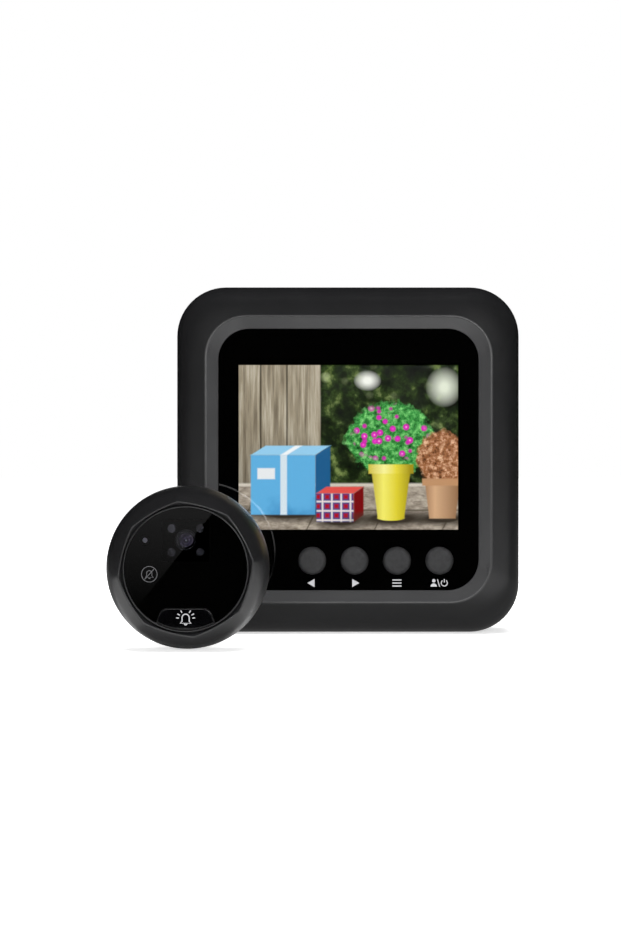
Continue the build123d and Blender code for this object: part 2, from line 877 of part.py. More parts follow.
def make_door_bracket():
    """The pressed steel bracket: a flat panel on the door and two stepped flanges with notches."""
    half = bracket_height / 2
    panel_x = bracket_panel_width / 2
    flange_x = bracket_width / 2
    front = bracket_step + bracket_sheet
    body = block(-panel_x, panel_x, -half, half, 0, bracket_sheet)
    for side in (-1, 1):
        web_inner = side * (panel_x - bracket_sheet)
        web = sorted((web_inner, side * panel_x))
        flange = sorted((web_inner, side * flange_x))
        body += block(web[0], web[1], -half, half, 0, front)
        body += block(flange[0], flange[1], -half, half, bracket_step, front)
    deep_edges = body.edges().filter_by(Axis.Y).sort_by(Axis.X)
    body = fillet(deep_edges[:2] + deep_edges[-2:], bracket_corner_radius)
    for start in lip_start_z:
        low = start + bracket_travel - slide_gap
        high = start + tongue_length + bracket_travel + slide_gap
        notch_x = flange_x + overrun
        body -= block(panel_x, notch_x, low, high, bracket_step - seat_gap, front + overrun)
        body -= block(-notch_x, -panel_x, low, high, bracket_step - seat_gap, front + overrun)
    body -= disc(bracket_hole_radius, -overrun, bracket_sheet + overrun)
    for x in (-bracket_screw_x, bracket_screw_x):
        for z in (-bracket_screw_z, bracket_screw_z):
            body -= disc(bracket_screw_radius, -overrun, bracket_sheet + overrun, x, z)
    return body


def ridge_outline(corner_radius, side_radius):
    """The soft eight-cornered outline: arcs from corner to corner, nearly a circle."""
    step = 360 / ridge_corner_count
    edges = []
    for number in range(ridge_corner_count):
        angle = ridge_turn + number * step
        edges.append(
            ThreePointArc(
                on_circle(corner_radius, angle),
                on_circle(side_radius, angle + step / 2),
                on_circle(corner_radius, angle + step),
            )
        )
    return make_face(edges)


def shell_swell_outline():
    """The outline part of the way up the shell, a little towards the ridge's corners."""
    spread = (ridge_corner_radius - ridge_side_radius) * shell_swell_corner_share
    return ridge_outline(shell_swell_radius + spread / 2, shell_swell_radius - spread / 2)


def bell_shell_outer():
    """The shell's outer form: turned at the back, drawn into the eight-cornered ridge at the front."""
    back = turned([
        (0, shell_back_depth),
        (shell_back_radius, shell_back_depth),
        (outdoor_radius, shell_wide_depth),
        (shell_shoulder_radius, shell_shoulder_depth),
        (0, shell_shoulder_depth),
    ])
    swell_depth = shell_shoulder_depth + (shell_ridge_depth - shell_shoulder_depth) * shell_swell_depth_share
    front = loft([
        front_plane(shell_shoulder_depth) * ridge_outline(shell_shoulder_radius, shell_shoulder_radius),
        front_plane(swell_depth) * shell_swell_outline(),
        front_plane(shell_ridge_depth) * ridge_outline(ridge_corner_radius, ridge_side_radius),
    ])
    return back + front


def key_outline(gap, rim_radius):
    """The bell key's outline: straight top, sloping sides and a round foot along the glass's rim."""
    top = -key_top_below_axis - gap
    foot = -key_foot_below_axis
    low = -glass_radius - overrun
    top_x = key_top_half_width - gap
    foot_x = key_foot_half_width - gap
    low_x = foot_x + (foot_x - top_x) * (low - foot) / (foot - top)
    wedge = Polygon((-top_x, top), (top_x, top), (low_x, low), (-low_x, low), align=None)
    wedge = fillet(wedge.vertices().sort_by(Axis.Y)[-2:], key_corner_radius)
    return wedge & Circle(rim_radius)


def infrared_places():
    """The four infrared lamps round the camera."""
    return [(x, camera_above_axis + z) for x in (-led_x, led_x) for z in (-led_z, led_z)]


def key_post_outline(gap):
    """The bell key's post and the slot it slides in."""
    post = Rectangle(2 * (key_post_half_width + gap), 2 * (key_post_half_height + gap))
    return Pos(0, -key_post_below_axis) * post


def face_holes(gap):
    """The holes behind the glass: camera, infrared lamps and light sensor."""
    lamps = [Pos(x, z) * Circle(led_radius + gap) for x, z in infrared_places()]
    sensor = Pos(light_sensor_x, light_sensor_above_axis) * Circle(light_sensor_radius + gap)
    camera = Pos(0, camera_above_axis) * Circle(camera_window_radius)
    return Sketch() + lamps + [sensor, camera]


def outdoor(piece):
    """Moves a piece from the outdoor camera's own axis and seat to its place in front of the monitor."""
    return Pos(outdoor_x, -outdoor_seat_depth, outdoor_z) * piece


def bell_shell_hollow():
    """The room inside the shell, with the back plate's seat at its mouth."""
    mouth = plate_radius + window_gap
    inner = shell_back_radius - shell_wall
    front_radius = shell_swell_radius - shell_wall - hole_gap
    return turned([
        (0, shell_back_depth - overrun),
        (mouth, shell_back_depth - overrun),
        (mouth, plate_front_depth),
        (inner, plate_front_depth),
        (inner, outdoor_board_depth),
        (front_radius, face_back_depth),
        (0, face_back_depth),
    ])


def make_bell_shell():
    """The outdoor camera's moulded shell with its ridge, glass seat, board posts and screw bosses."""
    land = ridge_outline(ridge_corner_radius - ridge_land, ridge_side_radius - ridge_land)
    recess = loft(
        [
            front_plane(shell_ridge_depth) * land,
            front_plane(recess_band_depth) * ridge_outline(recess_band_radius, recess_band_radius),
        ],
        ruled=True,
    )
    seat_radius = glass_radius + window_gap
    ring = turned([
        (seat_radius, glass_seat_depth),
        (recess_band_radius, glass_seat_depth),
        (recess_band_radius, recess_band_depth),
        (glass_ring_radius, glass_ring_depth),
        (seat_radius, glass_ring_depth),
    ])
    body = bell_shell_outer() - recess
    body -= disc(seat_radius, glass_seat_depth - print_thickness, shell_ridge_depth)
    body += ring
    root_depth = face_back_depth + overrun
    posts = [
        disc(outdoor_post_radius, outdoor_board_front, root_depth, *on_circle(outdoor_post_circle, angle))
        for angle in outdoor_post_angles
    ]
    bosses = [
        disc(plate_boss_radius, plate_front_depth, root_depth, *on_circle(plate_screw_circle, angle))
        for angle in plate_screw_angles
    ]
    body = body - bell_shell_hollow() + posts + bosses
    openings = face_holes(window_gap) + key_post_outline(hole_gap)
    body -= slab(openings, face_back_depth - overrun, glass_depth)
    for angle in plate_screw_angles:
        x, z = on_circle(plate_screw_circle, angle)
        end = plate_screw_start() + plate_screw_length + seat_gap
        body -= disc(plate_screw_radius + thread_gap, plate_front_depth - overrun, end, x, z)
    for angle in outdoor_post_angles:
        x, z = on_circle(outdoor_post_circle, angle)
        end = outdoor_board_depth + outdoor_screw_length + seat_gap
        body -= disc(outdoor_screw_radius + thread_gap, outdoor_board_front - overrun, end, x, z)
    return outdoor(body)


def plate_screw_start():
    """The depth under the back screws' heads."""
    return gasket_thickness + plate_screw_sink + plate_screw_head_height


def make_face_glass():
    """The outdoor camera's round face glass, cut away for the bell key."""
    return outdoor(slab(Circle(glass_radius) - key_outline(0, glass_radius), glass_seat_depth, glass_depth))


def make_face_print():
    """The black print behind the face glass, open over the camera, lamps and sensor."""
    outline = Circle(glass_radius) - key_outline(0, glass_radius) - face_holes(0)
    return outdoor(slab(outline, glass_seat_depth - print_thickness, glass_seat_depth))


def make_bell_key():
    """The bell key: a glossy plate, a post through the face wall and a flange behind it."""
    plate = slab(key_outline(key_gap, key_rim_radius), key_plate_back, glass_depth)
    post = slab(key_post_outline(0), key_flange_back, key_plate_back)
    flange = slab(key_post_outline(key_flange_margin), key_flange_back, face_back_depth - seat_gap / 2)
    return outdoor(plate + post + flange)


def make_camera_holder():
    """The camera's round base and barrel, with the well that holds its front lens."""
    base_front = outdoor_board_front + camera_base_height
    well_back = camera_front_depth - camera_well_depth
    body = disc(camera_base_radius, outdoor_board_front, base_front)
    body += disc(camera_barrel_radius, outdoor_board_front, camera_front_depth)
    body -= disc(camera_glass_radius + window_gap, well_back, camera_front_depth + overrun)
    return outdoor(Pos(0, 0, camera_above_axis) * body)


def make_camera_lens():
    """The camera's front lens, a small domed glass at the bottom of its well."""
    back = camera_front_depth - camera_well_depth
    rim = back + camera_glass_thickness
    outline = (
        Line((0, -back), (camera_glass_radius, -back))
        + Line((camera_glass_radius, -back), (camera_glass_radius, -rim))
        + dome_arc(camera_glass_radius, rim, camera_glass_dome)
        + Line((0, -rim - camera_glass_dome), (0, -back))
    )
    return outdoor(Pos(0, 0, camera_above_axis) * revolve(make_face(outline), Axis.Y))


def make_infrared_lamps():
    """The four infrared lamps, each a base and a round lens, as separate solids."""
    lamps = []
    for x, z in infrared_places():
        base = disc(led_base_radius, outdoor_board_front, outdoor_board_front + led_base_height, x, z)
        lamps.append(base + disc(led_radius, outdoor_board_front, camera_front_depth, x, z))
    return outdoor(Compound(children=lamps))


def make_light_sensor():
    """The light sensor on the board with its clear guide up to the glass."""
    place = Pos(light_sensor_x, light_sensor_above_axis)
    base = slab(
        place * Rectangle(light_sensor_base_size, light_sensor_base_size),
        outdoor_board_front,
        outdoor_board_front + light_sensor_base_height,
    )
    guide = disc(
        light_sensor_radius, outdoor_board_front, camera_front_depth, light_sensor_x, light_sensor_above_axis
    )
    return outdoor(base + guide)


def make_outdoor_board():
    """The round circuit board of the outdoor camera."""
    outline = Circle(outdoor_board_radius)
    for angle in plate_screw_angles:
        outline -= Pos(*on_circle(plate_screw_circle, angle)) * Circle(plate_boss_radius + slide_gap)
    for angle in outdoor_post_angles:
        outline -= Pos(*on_circle(outdoor_post_circle, angle)) * Circle(outdoor_screw_radius + thread_gap)
    return outdoor(slab(outline, outdoor_board_depth, outdoor_board_front))


def make_outdoor_screws():
    """The four screws that hold the outdoor board, as separate solids."""
    back = outdoor_board_depth - outdoor_screw_head_height
    head = (outdoor_screw_head_radius, outdoor_screw_head_height)
    return outdoor(Compound(children=[
        screw(*head, outdoor_screw_radius, outdoor_screw_length, back, *on_circle(outdoor_post_circle, angle))
        for angle in outdoor_post_angles
    ]))


def make_outdoor_chips():
    """The chips on the back of the outdoor board, as separate solids."""
    chips = []
    for x, z in zip(outdoor_chip_x_shares, outdoor_chip_z_shares):
        centre = Pos(x * outdoor_board_radius, z * outdoor_board_radius)
        outline = centre * Rectangle(outdoor_chip_size, outdoor_chip_size)
        chips.append(slab(outline, outdoor_board_depth - outdoor_chip_height, outdoor_board_depth))
    return outdoor(Compound(children=chips))


def make_bell_switch():
    """The switch behind the bell key."""
    body_top = outdoor_board_front + bell_switch_body
    body = slab(Rectangle(bell_switch_width, bell_switch_height), outdoor_board_front, body_top)
    body += disc(bell_switch_plunger_radius, body_top, key_plunger_top)
    return outdoor(Pos(0, 0, -key_post_below_axis) * body)


def make_outdoor_socket():
    """The flat ribbon socket on the outdoor board's back, over the barrel's bore."""
    outline = Rectangle(outdoor_socket_width, outdoor_socket_height)
    return outdoor(slab(outline, outdoor_board_depth - outdoor_socket_depth, outdoor_board_depth))


def make_back_plate():
    """The outdoor camera's round back plate, with the barrel's hole and the sunk screw holes."""
    body = disc(plate_radius, gasket_thickness, plate_front_depth)
    back = gasket_thickness - overrun
    body -= disc(spigot_radius + thread_gap, back, plate_front_depth + overrun)
    for angle in plate_screw_angles:
        x, z = on_circle(plate_screw_circle, angle)
        body -= disc(plate_screw_head_radius + hole_gap, back, plate_screw_start(), x, z)
        body -= disc(plate_screw_radius + hole_gap, gasket_thickness, plate_front_depth + overrun, x, z)
    return outdoor(body)


def make_door_seal():
    """The foam ring that seals the outdoor camera against the door."""
    return outdoor(slab(Circle(gasket_outer_radius) - Circle(gasket_inner_radius), 0, gasket_thickness))


def make_plate_screws():
    """The three screws that hold the back plate, as separate solids."""
    back = gasket_thickness + plate_screw_sink
    head = (plate_screw_head_radius, plate_screw_head_height)
    return outdoor(Compound(children=[
        screw(*head, plate_screw_radius, plate_screw_length, back, *on_circle(plate_screw_circle, angle))
        for angle in plate_screw_angles
    ]))


def make_threaded_barrel():
    """The hollow threaded barrel through the door, with its flange in front of the back plate."""
    flange_front = plate_front_depth + barrel_flange_thickness
    points = [
        (barrel_bore_radius, flange_front),
        (barrel_flange_radius, flange_front),
        (barrel_flange_radius, plate_front_depth),
        (spigot_radius, plate_front_depth),
        (spigot_radius, 0),
    ]
    turns = int((barrel_length - barrel_tip_length) / thread_pitch)
    for turn in range(turns):
        start = -turn * thread_pitch
        points.append((barrel_radius, start))
        points.append((barrel_radius, start - thread_land))
        points.append((barrel_radius - thread_height, start - (thread_land + thread_pitch) / 2))
    points.append((barrel_radius, -turns * thread_pitch))
    points.append((barrel_radius, -barrel_length + barrel_tip_chamfer))
    points.append((barrel_radius - barrel_tip_chamfer, -barrel_length))
    points.append((barrel_bore_radius, -barrel_length))
    return outdoor(turned(points))


def make_clamp_washer():
    """The plain washer on the barrel."""
    outline = Circle(washer_radius) - Circle(barrel_radius + thread_gap)
    return outdoor(slab(outline, -washer_rest_gap - washer_thickness, -washer_rest_gap))


def make_lock_nut():
    """The hexagon nut on the barrel, with its corners turned off on both faces."""
    front = -washer_rest_gap - washer_thickness - nut_washer_gap
    back = front - nut_thickness
    hexagon = RegularPolygon(nut_width / 2, nut_sides, major_radius=False)
    body = slab(hexagon - Circle(barrel_radius + thread_gap), back, front)
    flat = nut_width / 2
    corner = flat + nut_chamfer
    cone = turned([
        (0, back),
        (flat, back),
        (corner, back + nut_chamfer / 2),
        (corner + overrun, back + nut_thickness / 2),
        (corner, front - nut_chamfer / 2),
        (flat, front),
        (0, front),
    ])
    return outdoor(body & cone)


def make_left_button():
    """The key that steps back."""
    return make_push_button(*button_places()[0])


def make_right_button():
    """The key that steps on."""
    return make_push_button(*button_places()[1])


def make_menu_button():
    """The menu key."""
    return make_push_button(*button_places()[2])


def make_power_button():
    """The view and power key."""
    return make_push_button(*button_places()[3])


PARTS = {
    "front_bezel": make_front_bezel,
    "display_window": make_display_window,
    "window_print": make_window_print,
    "screen_panel": make_screen_panel,
    "screen_tray": make_screen_tray,
    "screen_foam": make_screen_foam,
    "main_board": make_main_board,
    "board_chips": make_board_chips,
    "tact_switches": make_tact_switches,
    "board_screws": make_board_screws,
    "ribbon_socket": make_ribbon_socket,
    "speaker": make_speaker,
    "rear_case": make_rear_case,
    "battery_cells": make_battery_cells,
    "battery_contacts": make_battery_contacts,
    "case_screws": make_case_screws,
    "left_button": make_left_button,
    "right_button": make_right_button,
    "menu_button": make_menu_button,
    "power_button": make_power_button,
    "battery_cover": make_battery_cover,
    "door_bracket": make_door_bracket,
    "bell_shell": make_bell_shell,
    "face_glass": make_face_glass,
    "face_print": make_face_print,
    "bell_key": make_bell_key,
    "camera_holder": make_camera_holder,
    "camera_lens": make_camera_lens,
    "infrared_lamps": make_infrared_lamps,
    "light_sensor": make_light_sensor,
    "outdoor_board": make_outdoor_board,
    "outdoor_screws": make_outdoor_screws,
    "outdoor_chips": make_outdoor_chips,
    "bell_switch": make_bell_switch,
    "outdoor_socket": make_outdoor_socket,
    "back_plate": make_back_plate,
    "door_seal": make_door_seal,
    "plate_screws": make_plate_screws,
    "threaded_barrel": make_threaded_barrel,
    "clamp_washer": make_clamp_washer,
    "lock_nut": make_lock_nut,
}


def main():
    """Builds each piece and writes it to its own file."""
    os.makedirs("parts", exist_ok=True)
    for name, make in PARTS.items():
        export_step(make(), "parts/" + name + ".step")


main()
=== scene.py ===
# %% [markdown]
# Peephole door camera, dressed for a studio picture. The real set is a small monitor that hangs on
# the inside of a door, and a round camera with a bell key that sits on the outside. Both are
# moulded in black ABS, so nearly all that the eye gets from them is how soft light slides over the
# plastic: the looks are made with fine grain, small rounded edges and careful lamps. The frame
# brings every piece at its real size, and this script only finishes them.

# %% Load the frame
import json
import math

import bmesh
import bpy
from mathutils import Matrix, Vector
from mathutils.bvhtree import BVHTree

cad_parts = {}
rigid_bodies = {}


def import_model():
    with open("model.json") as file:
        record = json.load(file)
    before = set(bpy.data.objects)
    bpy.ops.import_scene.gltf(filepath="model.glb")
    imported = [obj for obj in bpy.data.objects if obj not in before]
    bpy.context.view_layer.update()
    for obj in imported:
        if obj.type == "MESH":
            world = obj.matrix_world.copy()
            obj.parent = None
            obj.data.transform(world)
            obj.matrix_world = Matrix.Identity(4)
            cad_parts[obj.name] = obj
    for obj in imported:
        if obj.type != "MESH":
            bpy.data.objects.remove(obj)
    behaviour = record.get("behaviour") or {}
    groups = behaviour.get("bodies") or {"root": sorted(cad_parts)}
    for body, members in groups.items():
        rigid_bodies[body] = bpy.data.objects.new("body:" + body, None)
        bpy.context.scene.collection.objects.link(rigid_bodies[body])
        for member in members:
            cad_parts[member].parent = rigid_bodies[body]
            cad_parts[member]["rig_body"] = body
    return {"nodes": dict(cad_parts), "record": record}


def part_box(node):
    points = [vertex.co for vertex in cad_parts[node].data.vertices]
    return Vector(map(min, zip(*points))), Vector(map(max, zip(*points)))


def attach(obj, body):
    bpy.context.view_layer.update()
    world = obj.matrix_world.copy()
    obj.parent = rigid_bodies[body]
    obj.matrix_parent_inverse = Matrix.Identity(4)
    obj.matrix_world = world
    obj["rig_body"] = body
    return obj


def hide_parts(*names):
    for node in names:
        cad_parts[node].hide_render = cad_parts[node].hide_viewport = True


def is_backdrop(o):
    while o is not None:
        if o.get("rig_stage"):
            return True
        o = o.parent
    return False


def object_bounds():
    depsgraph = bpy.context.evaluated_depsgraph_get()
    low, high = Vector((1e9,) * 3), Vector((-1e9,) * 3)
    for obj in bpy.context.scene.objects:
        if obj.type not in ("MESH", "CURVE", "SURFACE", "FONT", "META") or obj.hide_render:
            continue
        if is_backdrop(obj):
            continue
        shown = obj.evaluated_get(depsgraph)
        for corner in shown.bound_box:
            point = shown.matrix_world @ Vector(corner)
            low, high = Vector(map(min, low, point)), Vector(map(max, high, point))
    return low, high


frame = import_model()
cad_low, cad_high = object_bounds()
MM = 0.001
NODES = frame["nodes"]
SLOTS = {part["node"]: part["material_slot"] for part in frame["record"]["subparts"]}
print("pieces in the frame:", len(NODES))

# %% [markdown]
# Places that the finish needs are read from the frame's boxes, so they follow the model. The
# monitor faces -Y, so a front face is the lowest Y of a box.

# %% Places read from the frame
window_low, window_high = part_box("display_window")
glass_low, glass_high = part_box("face_glass")
panel_low, panel_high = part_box("screen_panel")
shell_low, shell_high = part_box("bell_shell")
bezel_low, bezel_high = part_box("front_bezel")
FLOOR_Z = bezel_low.z
BELL_X = (shell_low.x + shell_high.x) / 2
BELL_Z = (shell_low.z + shell_high.z) / 2
WINDOW_Y = window_low.y
GLASS_Y = glass_low.y
print("window faces y =", round(WINDOW_Y / MM, 2), "mm; glass faces y =", round(GLASS_Y / MM, 2), "mm")

# %% [markdown]
# Colours are written as sRGB hex values, as a paint chart gives them, and one function turns them
# to the linear values that the shaders reckon with. One helper adds a node with its settings,
# values and links, which keeps each material short enough to read as a recipe.


# %% Colour and node helpers
def linear(code):
    """The linear colour of an sRGB hex value such as #1A1A1B."""
    parts = [int(code[start:start + 2], 16) / 255 for start in (1, 3, 5)]
    return tuple(c / 12.92 if c <= 0.04045 else ((c + 0.055) / 1.055) ** 2.4 for c in parts) + (1.0,)


def add(tree, kind, values=None, links=None, **settings):
    """Adds a node with its own settings, its sockets' values and its incoming links."""
    made = tree.nodes.new(kind)
    for field, value in settings.items():
        setattr(made, field, value)
    for socket, value in (values or {}).items():
        made.inputs[socket].default_value = value
    for socket, source in (links or {}).items():
        tree.links.new(source, made.inputs[socket])
    return made


def start_material(name, **sockets):
    """A material with one Principled shader whose plain sockets are set here, with its tree and shader."""
    material = bpy.data.materials.new(name)
    material.use_nodes = True
    tree = material.node_tree
    shader = tree.nodes["Principled BSDF"]
    for socket, value in sockets.items():
        shader.inputs[socket.replace("_", " ")].default_value = value
    return material, tree, shader


def own_place(tree):
    """A point's place in the piece's own coordinates, in metres."""
    return add(tree, "ShaderNodeTexCoord").outputs["Object"]


def mapped(tree, place, **values):
    """Places shifted, turned or scaled."""
    return add(tree, "ShaderNodeMapping", values, {"Vector": place}).outputs["Vector"]


def reckon(tree, operation, first, second):
    """A reckoning with two values, each a number or another node's output."""
    made = add(tree, "ShaderNodeMath", operation=operation)
    for socket, source in enumerate((first, second)):
        if isinstance(source, (int, float)):
            made.inputs[socket].default_value = source
        else:
            tree.links.new(source, made.inputs[socket])
    return made.outputs["Value"]


def distance_of(tree, vector):
    """How long a vector is."""
    return add(tree, "ShaderNodeVectorMath", links={0: vector}, operation="LENGTH").outputs["Value"]


def mix_colours(tree, factor, first, second):
    """A colour mix, each of the two either a hex value or another node's output."""
    made = add(tree, "ShaderNodeMix", data_type="RGBA")
    for place, source in ((0, factor), (6, first), (7, second)):
        if isinstance(source, str):
            made.inputs[place].default_value = linear(source)
        elif isinstance(source, (int, float)):
            made.inputs[place].default_value = source
        else:
            tree.links.new(source, made.inputs[place])
    return made.outputs[2]


def noise_in(tree, place, scale, detail, roughness):
    """Noise at these places."""
    values = {"Scale": scale, "Detail": detail, "Roughness": roughness}
    return add(tree, "ShaderNodeTexNoise", values, {"Vector": place}).outputs["Fac"]


def noise_at(tree, size, detail=2.0, roughness=0.5):
    """Noise whose blobs are about this size in metres, in the piece's own coordinates."""
    return noise_in(tree, own_place(tree), 1 / size, detail, roughness)


def remap(tree, source, low, high, from_low=0.3, from_high=0.7):
    """Stretches a value between two levels."""
    values = {"From Min": from_low, "From Max": from_high, "To Min": low, "To Max": high}
    return add(tree, "ShaderNodeMapRange", values, {"Value": source}).outputs["Result"]


def ramp_of(tree, source, stops):
    """Colours along a value, as pairs of position and hex value."""
    made = add(tree, "ShaderNodeValToRGB", links={"Fac": source})
    scale = made.color_ramp.elements
    for number, (position, code) in enumerate(stops):
        stop = scale[number] if number < 2 else scale.new(position)
        stop.position = position
        stop.color = linear(code)
    return made.outputs["Color"]


def tint(tree, shader, factor, dark, light):
    """Colours a material between two tints."""
    tree.links.new(mix_colours(tree, factor, dark, light), shader.inputs["Base Color"])


def roughen(tree, shader, source, low, high):
    """Lets a material's roughness wander between two levels."""
    tree.links.new(remap(tree, source, low, high), shader.inputs["Roughness"])


def bump(tree, shader, height, depth):
    """Raises the surface by a height map of this depth in metres."""
    made = add(tree, "ShaderNodeBump", {"Strength": 1.0, "Distance": depth}, {"Height": height})
    tree.links.new(made.outputs["Normal"], shader.inputs["Normal"])


print("black casing in linear light:", [round(c, 4) for c in linear("#161617")][:3])

# %% [markdown]
# The casings are ABS, moulded in a tool whose steel was spark-eroded, which leaves a fine even grain. The
# grain breaks a lamp's reflection into a soft grey glow instead of a mirror image. Real spark grain is
# about 0.05 mm, too fine for a pixel of this picture, so it is drawn at 0.35 mm. The colour wanders a
# little, as pigment does in a large moulding. The frame's inner slope is drawn a lighter grey, which lifts
# it from the black band around it.


# %% Black moulded ABS
def moulded_abs(name, dark, light, roughness, grain=0.35 * MM, depth=0.004 * MM):
    """Black ABS with spark grain: two close colours, a wandering roughness and a fine bump."""
    material, tree, shader = start_material(name, IOR=1.53)
    tint(tree, shader, noise_at(tree, 9 * MM), dark, light)
    speckle = noise_at(tree, grain, detail=3.0, roughness=0.65)
    roughen(tree, shader, speckle, roughness - 0.05, roughness + 0.07)
    bump(tree, shader, speckle, depth)
    return material


MATERIALS = {}
MATERIALS["black_casing"] = moulded_abs("moulded_abs_black", "#161617", "#1B1B1C", 0.35)
SLOPE = moulded_abs("lighter_grey_abs", "#363637", "#3E3E3F", 0.42, 0.5 * MM, 0.008 * MM)

# %% [markdown]
# The four keys are silicone rubber with a matt top: nearly all diffuse, a shade lighter than the
# casing, with a coarse, slightly cloudy grain that the photograph shows as mottling.


# %% Silicone rubber keys
def silicone_rubber():
    """Matt dark grey silicone, mottled in two sizes."""
    material, tree, shader = start_material("silicone_rubber_grey", IOR=1.41)
    cloud = noise_at(tree, 1.3 * MM, detail=4.0, roughness=0.6)
    tint(tree, shader, remap(tree, cloud, 0.0, 1.0), "#242425", "#343435")
    roughen(tree, shader, cloud, 0.62, 0.74)
    bump(tree, shader, noise_at(tree, 0.4 * MM, detail=3.0), 0.008 * MM)
    return material


MATERIALS["button_rubber"] = silicone_rubber()

# %% [markdown]
# Both windows are cast acrylic with a black print on their backs, so they look like deep black
# sheets: the monitor's with the picture floating in it, the outdoor one with the lens, the lamps
# and the light guide glimmering through small clear openings. Where the print lies the sheet is
# drawn as black gloss itself, and light only passes through its openings. A very faint waviness
# keeps reflections from being perfect.


# %% Acrylic windows
def counted_from(tree, x, z, half_width, half_height):
    """The piece's own coordinates, counted from this middle in half widths and half heights."""
    shift = (-x / half_width, 0, -z / half_height)
    return mapped(tree, own_place(tree), Location=shift, Scale=(1 / half_width, 0, 1 / half_height))


def opening(tree, *middle_and_halves, rounded):
    """1 inside an upright rectangle or ellipse in the piece's own coordinates, else 0."""
    off = counted_from(tree, *middle_and_halves)
    if rounded:
        far = distance_of(tree, off)
    else:
        sides = add(tree, "ShaderNodeVectorMath", links={0: off}, operation="ABSOLUTE").outputs["Vector"]
        split = add(tree, "ShaderNodeSeparateXYZ", links={"Vector": sides}).outputs
        far = reckon(tree, "MAXIMUM", split["X"], split["Z"])
    return reckon(tree, "LESS_THAN", far, 1.0)


def acrylic(name, cast, openings):
    """Polished acrylic that light passes through at these openings in its black print."""
    material, tree, shader = start_material(name, IOR=1.49, Roughness=0.0)
    masks = [opening(tree, *measures, rounded=rounded) for *measures, rounded in openings]
    clear = masks[0] if len(masks) == 1 else reckon(tree, "MAXIMUM", *masks)
    tree.links.new(clear, shader.inputs["Transmission Weight"])
    printed_back = mix_colours(tree, noise_at(tree, 20 * MM), "#010101", "#020202")
    tint(tree, shader, clear, printed_back, cast)
    bump(tree, shader, noise_at(tree, 14 * MM, detail=0.0), 0.002 * MM)
    return material


SCREEN_WIDTH = 57.6 * MM
SCREEN_HEIGHT = 43.2 * MM
SCREEN_X = (panel_low.x + panel_high.x) / 2
SCREEN_Z = (panel_low.z + panel_high.z) / 2
screen_border = 0.4 * MM
clear_half = (SCREEN_WIDTH / 2 + screen_border, SCREEN_HEIGHT / 2 + screen_border)
screen_opening = (SCREEN_X, SCREEN_Z, *clear_half, False)
MATERIALS["clear_window"] = acrylic("cast_acrylic_clear", "#FFFFFF", [screen_opening])
lens_low, lens_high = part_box("camera_lens")
LENS_MIDDLE = (lens_low + lens_high) / 2
LENS_RADIUS = (lens_high.x - lens_low.x) / 2
lamps_low, lamps_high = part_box("infrared_lamps")
lamps_half = (lamps_high - lamps_low) / 2 + Vector((MM, MM, MM))
guide_low, guide_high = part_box("light_sensor")
guide_middle = (guide_low + guide_high) / 2
guide_opening = 1.2 * MM
outdoor_openings = [
    (LENS_MIDDLE.x, LENS_MIDDLE.z, lamps_half.x, lamps_half.z, False),
    (guide_middle.x, guide_middle.z, guide_opening, guide_opening, True),
]
MATERIALS["dark_glass"] = acrylic("cast_acrylic_smoked", "#C4C4CC", outdoor_openings)

# %% [markdown]
# The bell key is the same acrylic but sprayed black behind, and the prints are screen-printed matt
# ink. Ink has a slight orange peel, so its roughness wanders.


# %% Gloss black key and black ink
def lacquer(name, colour, lighter, roughness, ior=1.49):
    """Smooth plastic or ink with a little orange peel."""
    material, tree, shader = start_material(name, IOR=ior)
    cloud = noise_at(tree, 0.6 * MM, detail=2.0)
    tint(tree, shader, cloud, colour, lighter)
    roughen(tree, shader, cloud, roughness * 0.8, roughness * 1.2)
    bump(tree, shader, cloud, 0.0006 * MM)
    return material


MATERIALS["gloss_black"] = lacquer("acrylic_gloss_black", "#030304", "#050506", 0.04)
MATERIALS["black_print"] = lacquer("screen_ink_black", "#010101", "#020202", 0.6)
MATERIALS["chip_plastic"] = lacquer("epoxy_chip_black", "#101011", "#161618", 0.5)
MATERIALS["socket_plastic"] = lacquer("nylon_natural", "#D8D2C0", "#E2DDCC", 0.5)
MARK_INK = lacquer("pad_ink_pale_grey", "#B9B9BC", "#C6C6C9", 0.55)
FAINT_INK = lacquer("pad_ink_dark_grey", "#4A4A4C", "#565658", 0.6)

# %% [markdown]
# Foam is black and full of tiny cells, so it is given cell-shaped pits with a Voronoi pattern, and the
# same pattern draws the pits darker as painted shade in their hollows.


# %% Closed-cell foam
def foam(pit=0.3 * MM):
    """Closed-cell foam with pits of this size, drawn darker in their hollows as painted shade."""
    material, tree, shader = start_material("foam_black_with_painted_pit_shade", IOR=1.45, Roughness=0.9)
    pits = add(tree, "ShaderNodeTexVoronoi", {"Scale": 1 / pit}, {"Vector": own_place(tree)})
    cells = pits.outputs["Distance"]
    # Painted shade: the colour is darkest where the Voronoi distance is small, at the bottom of each pit.
    tint(tree, shader, cells, "#0C0C0C", "#242424")
    bump(tree, shader, cells, 0.05 * MM)
    return material


MATERIALS["foam"] = foam()

# %% [markdown]
# The bracket, contacts and screws are steel with bright zinc plating: a grey metal whose grain runs
# the way the sheet was rolled. The barrel, nut and washer are brass with nickel plating, warmer and
# smoother, with a fine even grain that only shows as a soft sheen.


# %% Plated metals
def plated(name, dark, light, roughness, stretch, grain):
    """A plated metal: two close tints in streaks that are drawn out where the stretch is below one."""
    material, tree, shader = start_material(name, Metallic=1.0)
    streak = noise_in(tree, mapped(tree, own_place(tree), Scale=stretch), 1 / grain, 3.0, 0.6)
    tint(tree, shader, streak, dark, light)
    roughen(tree, shader, streak, roughness - 0.03, roughness + 0.04)
    bump(tree, shader, streak, 0.0002 * MM)
    return material


rolled = (0.06, 1.0, 1.0)
even = (1.0, 1.0, 1.0)
MATERIALS["steel"] = plated("zinc_plated_steel", "#9A9C9F", "#B9BBBE", 0.33, rolled, 0.25 * MM)
MATERIALS["barrel_metal"] = plated("nickel_plated_brass", "#B4AFA3", "#CFCABD", 0.24, even, 0.5 * MM)

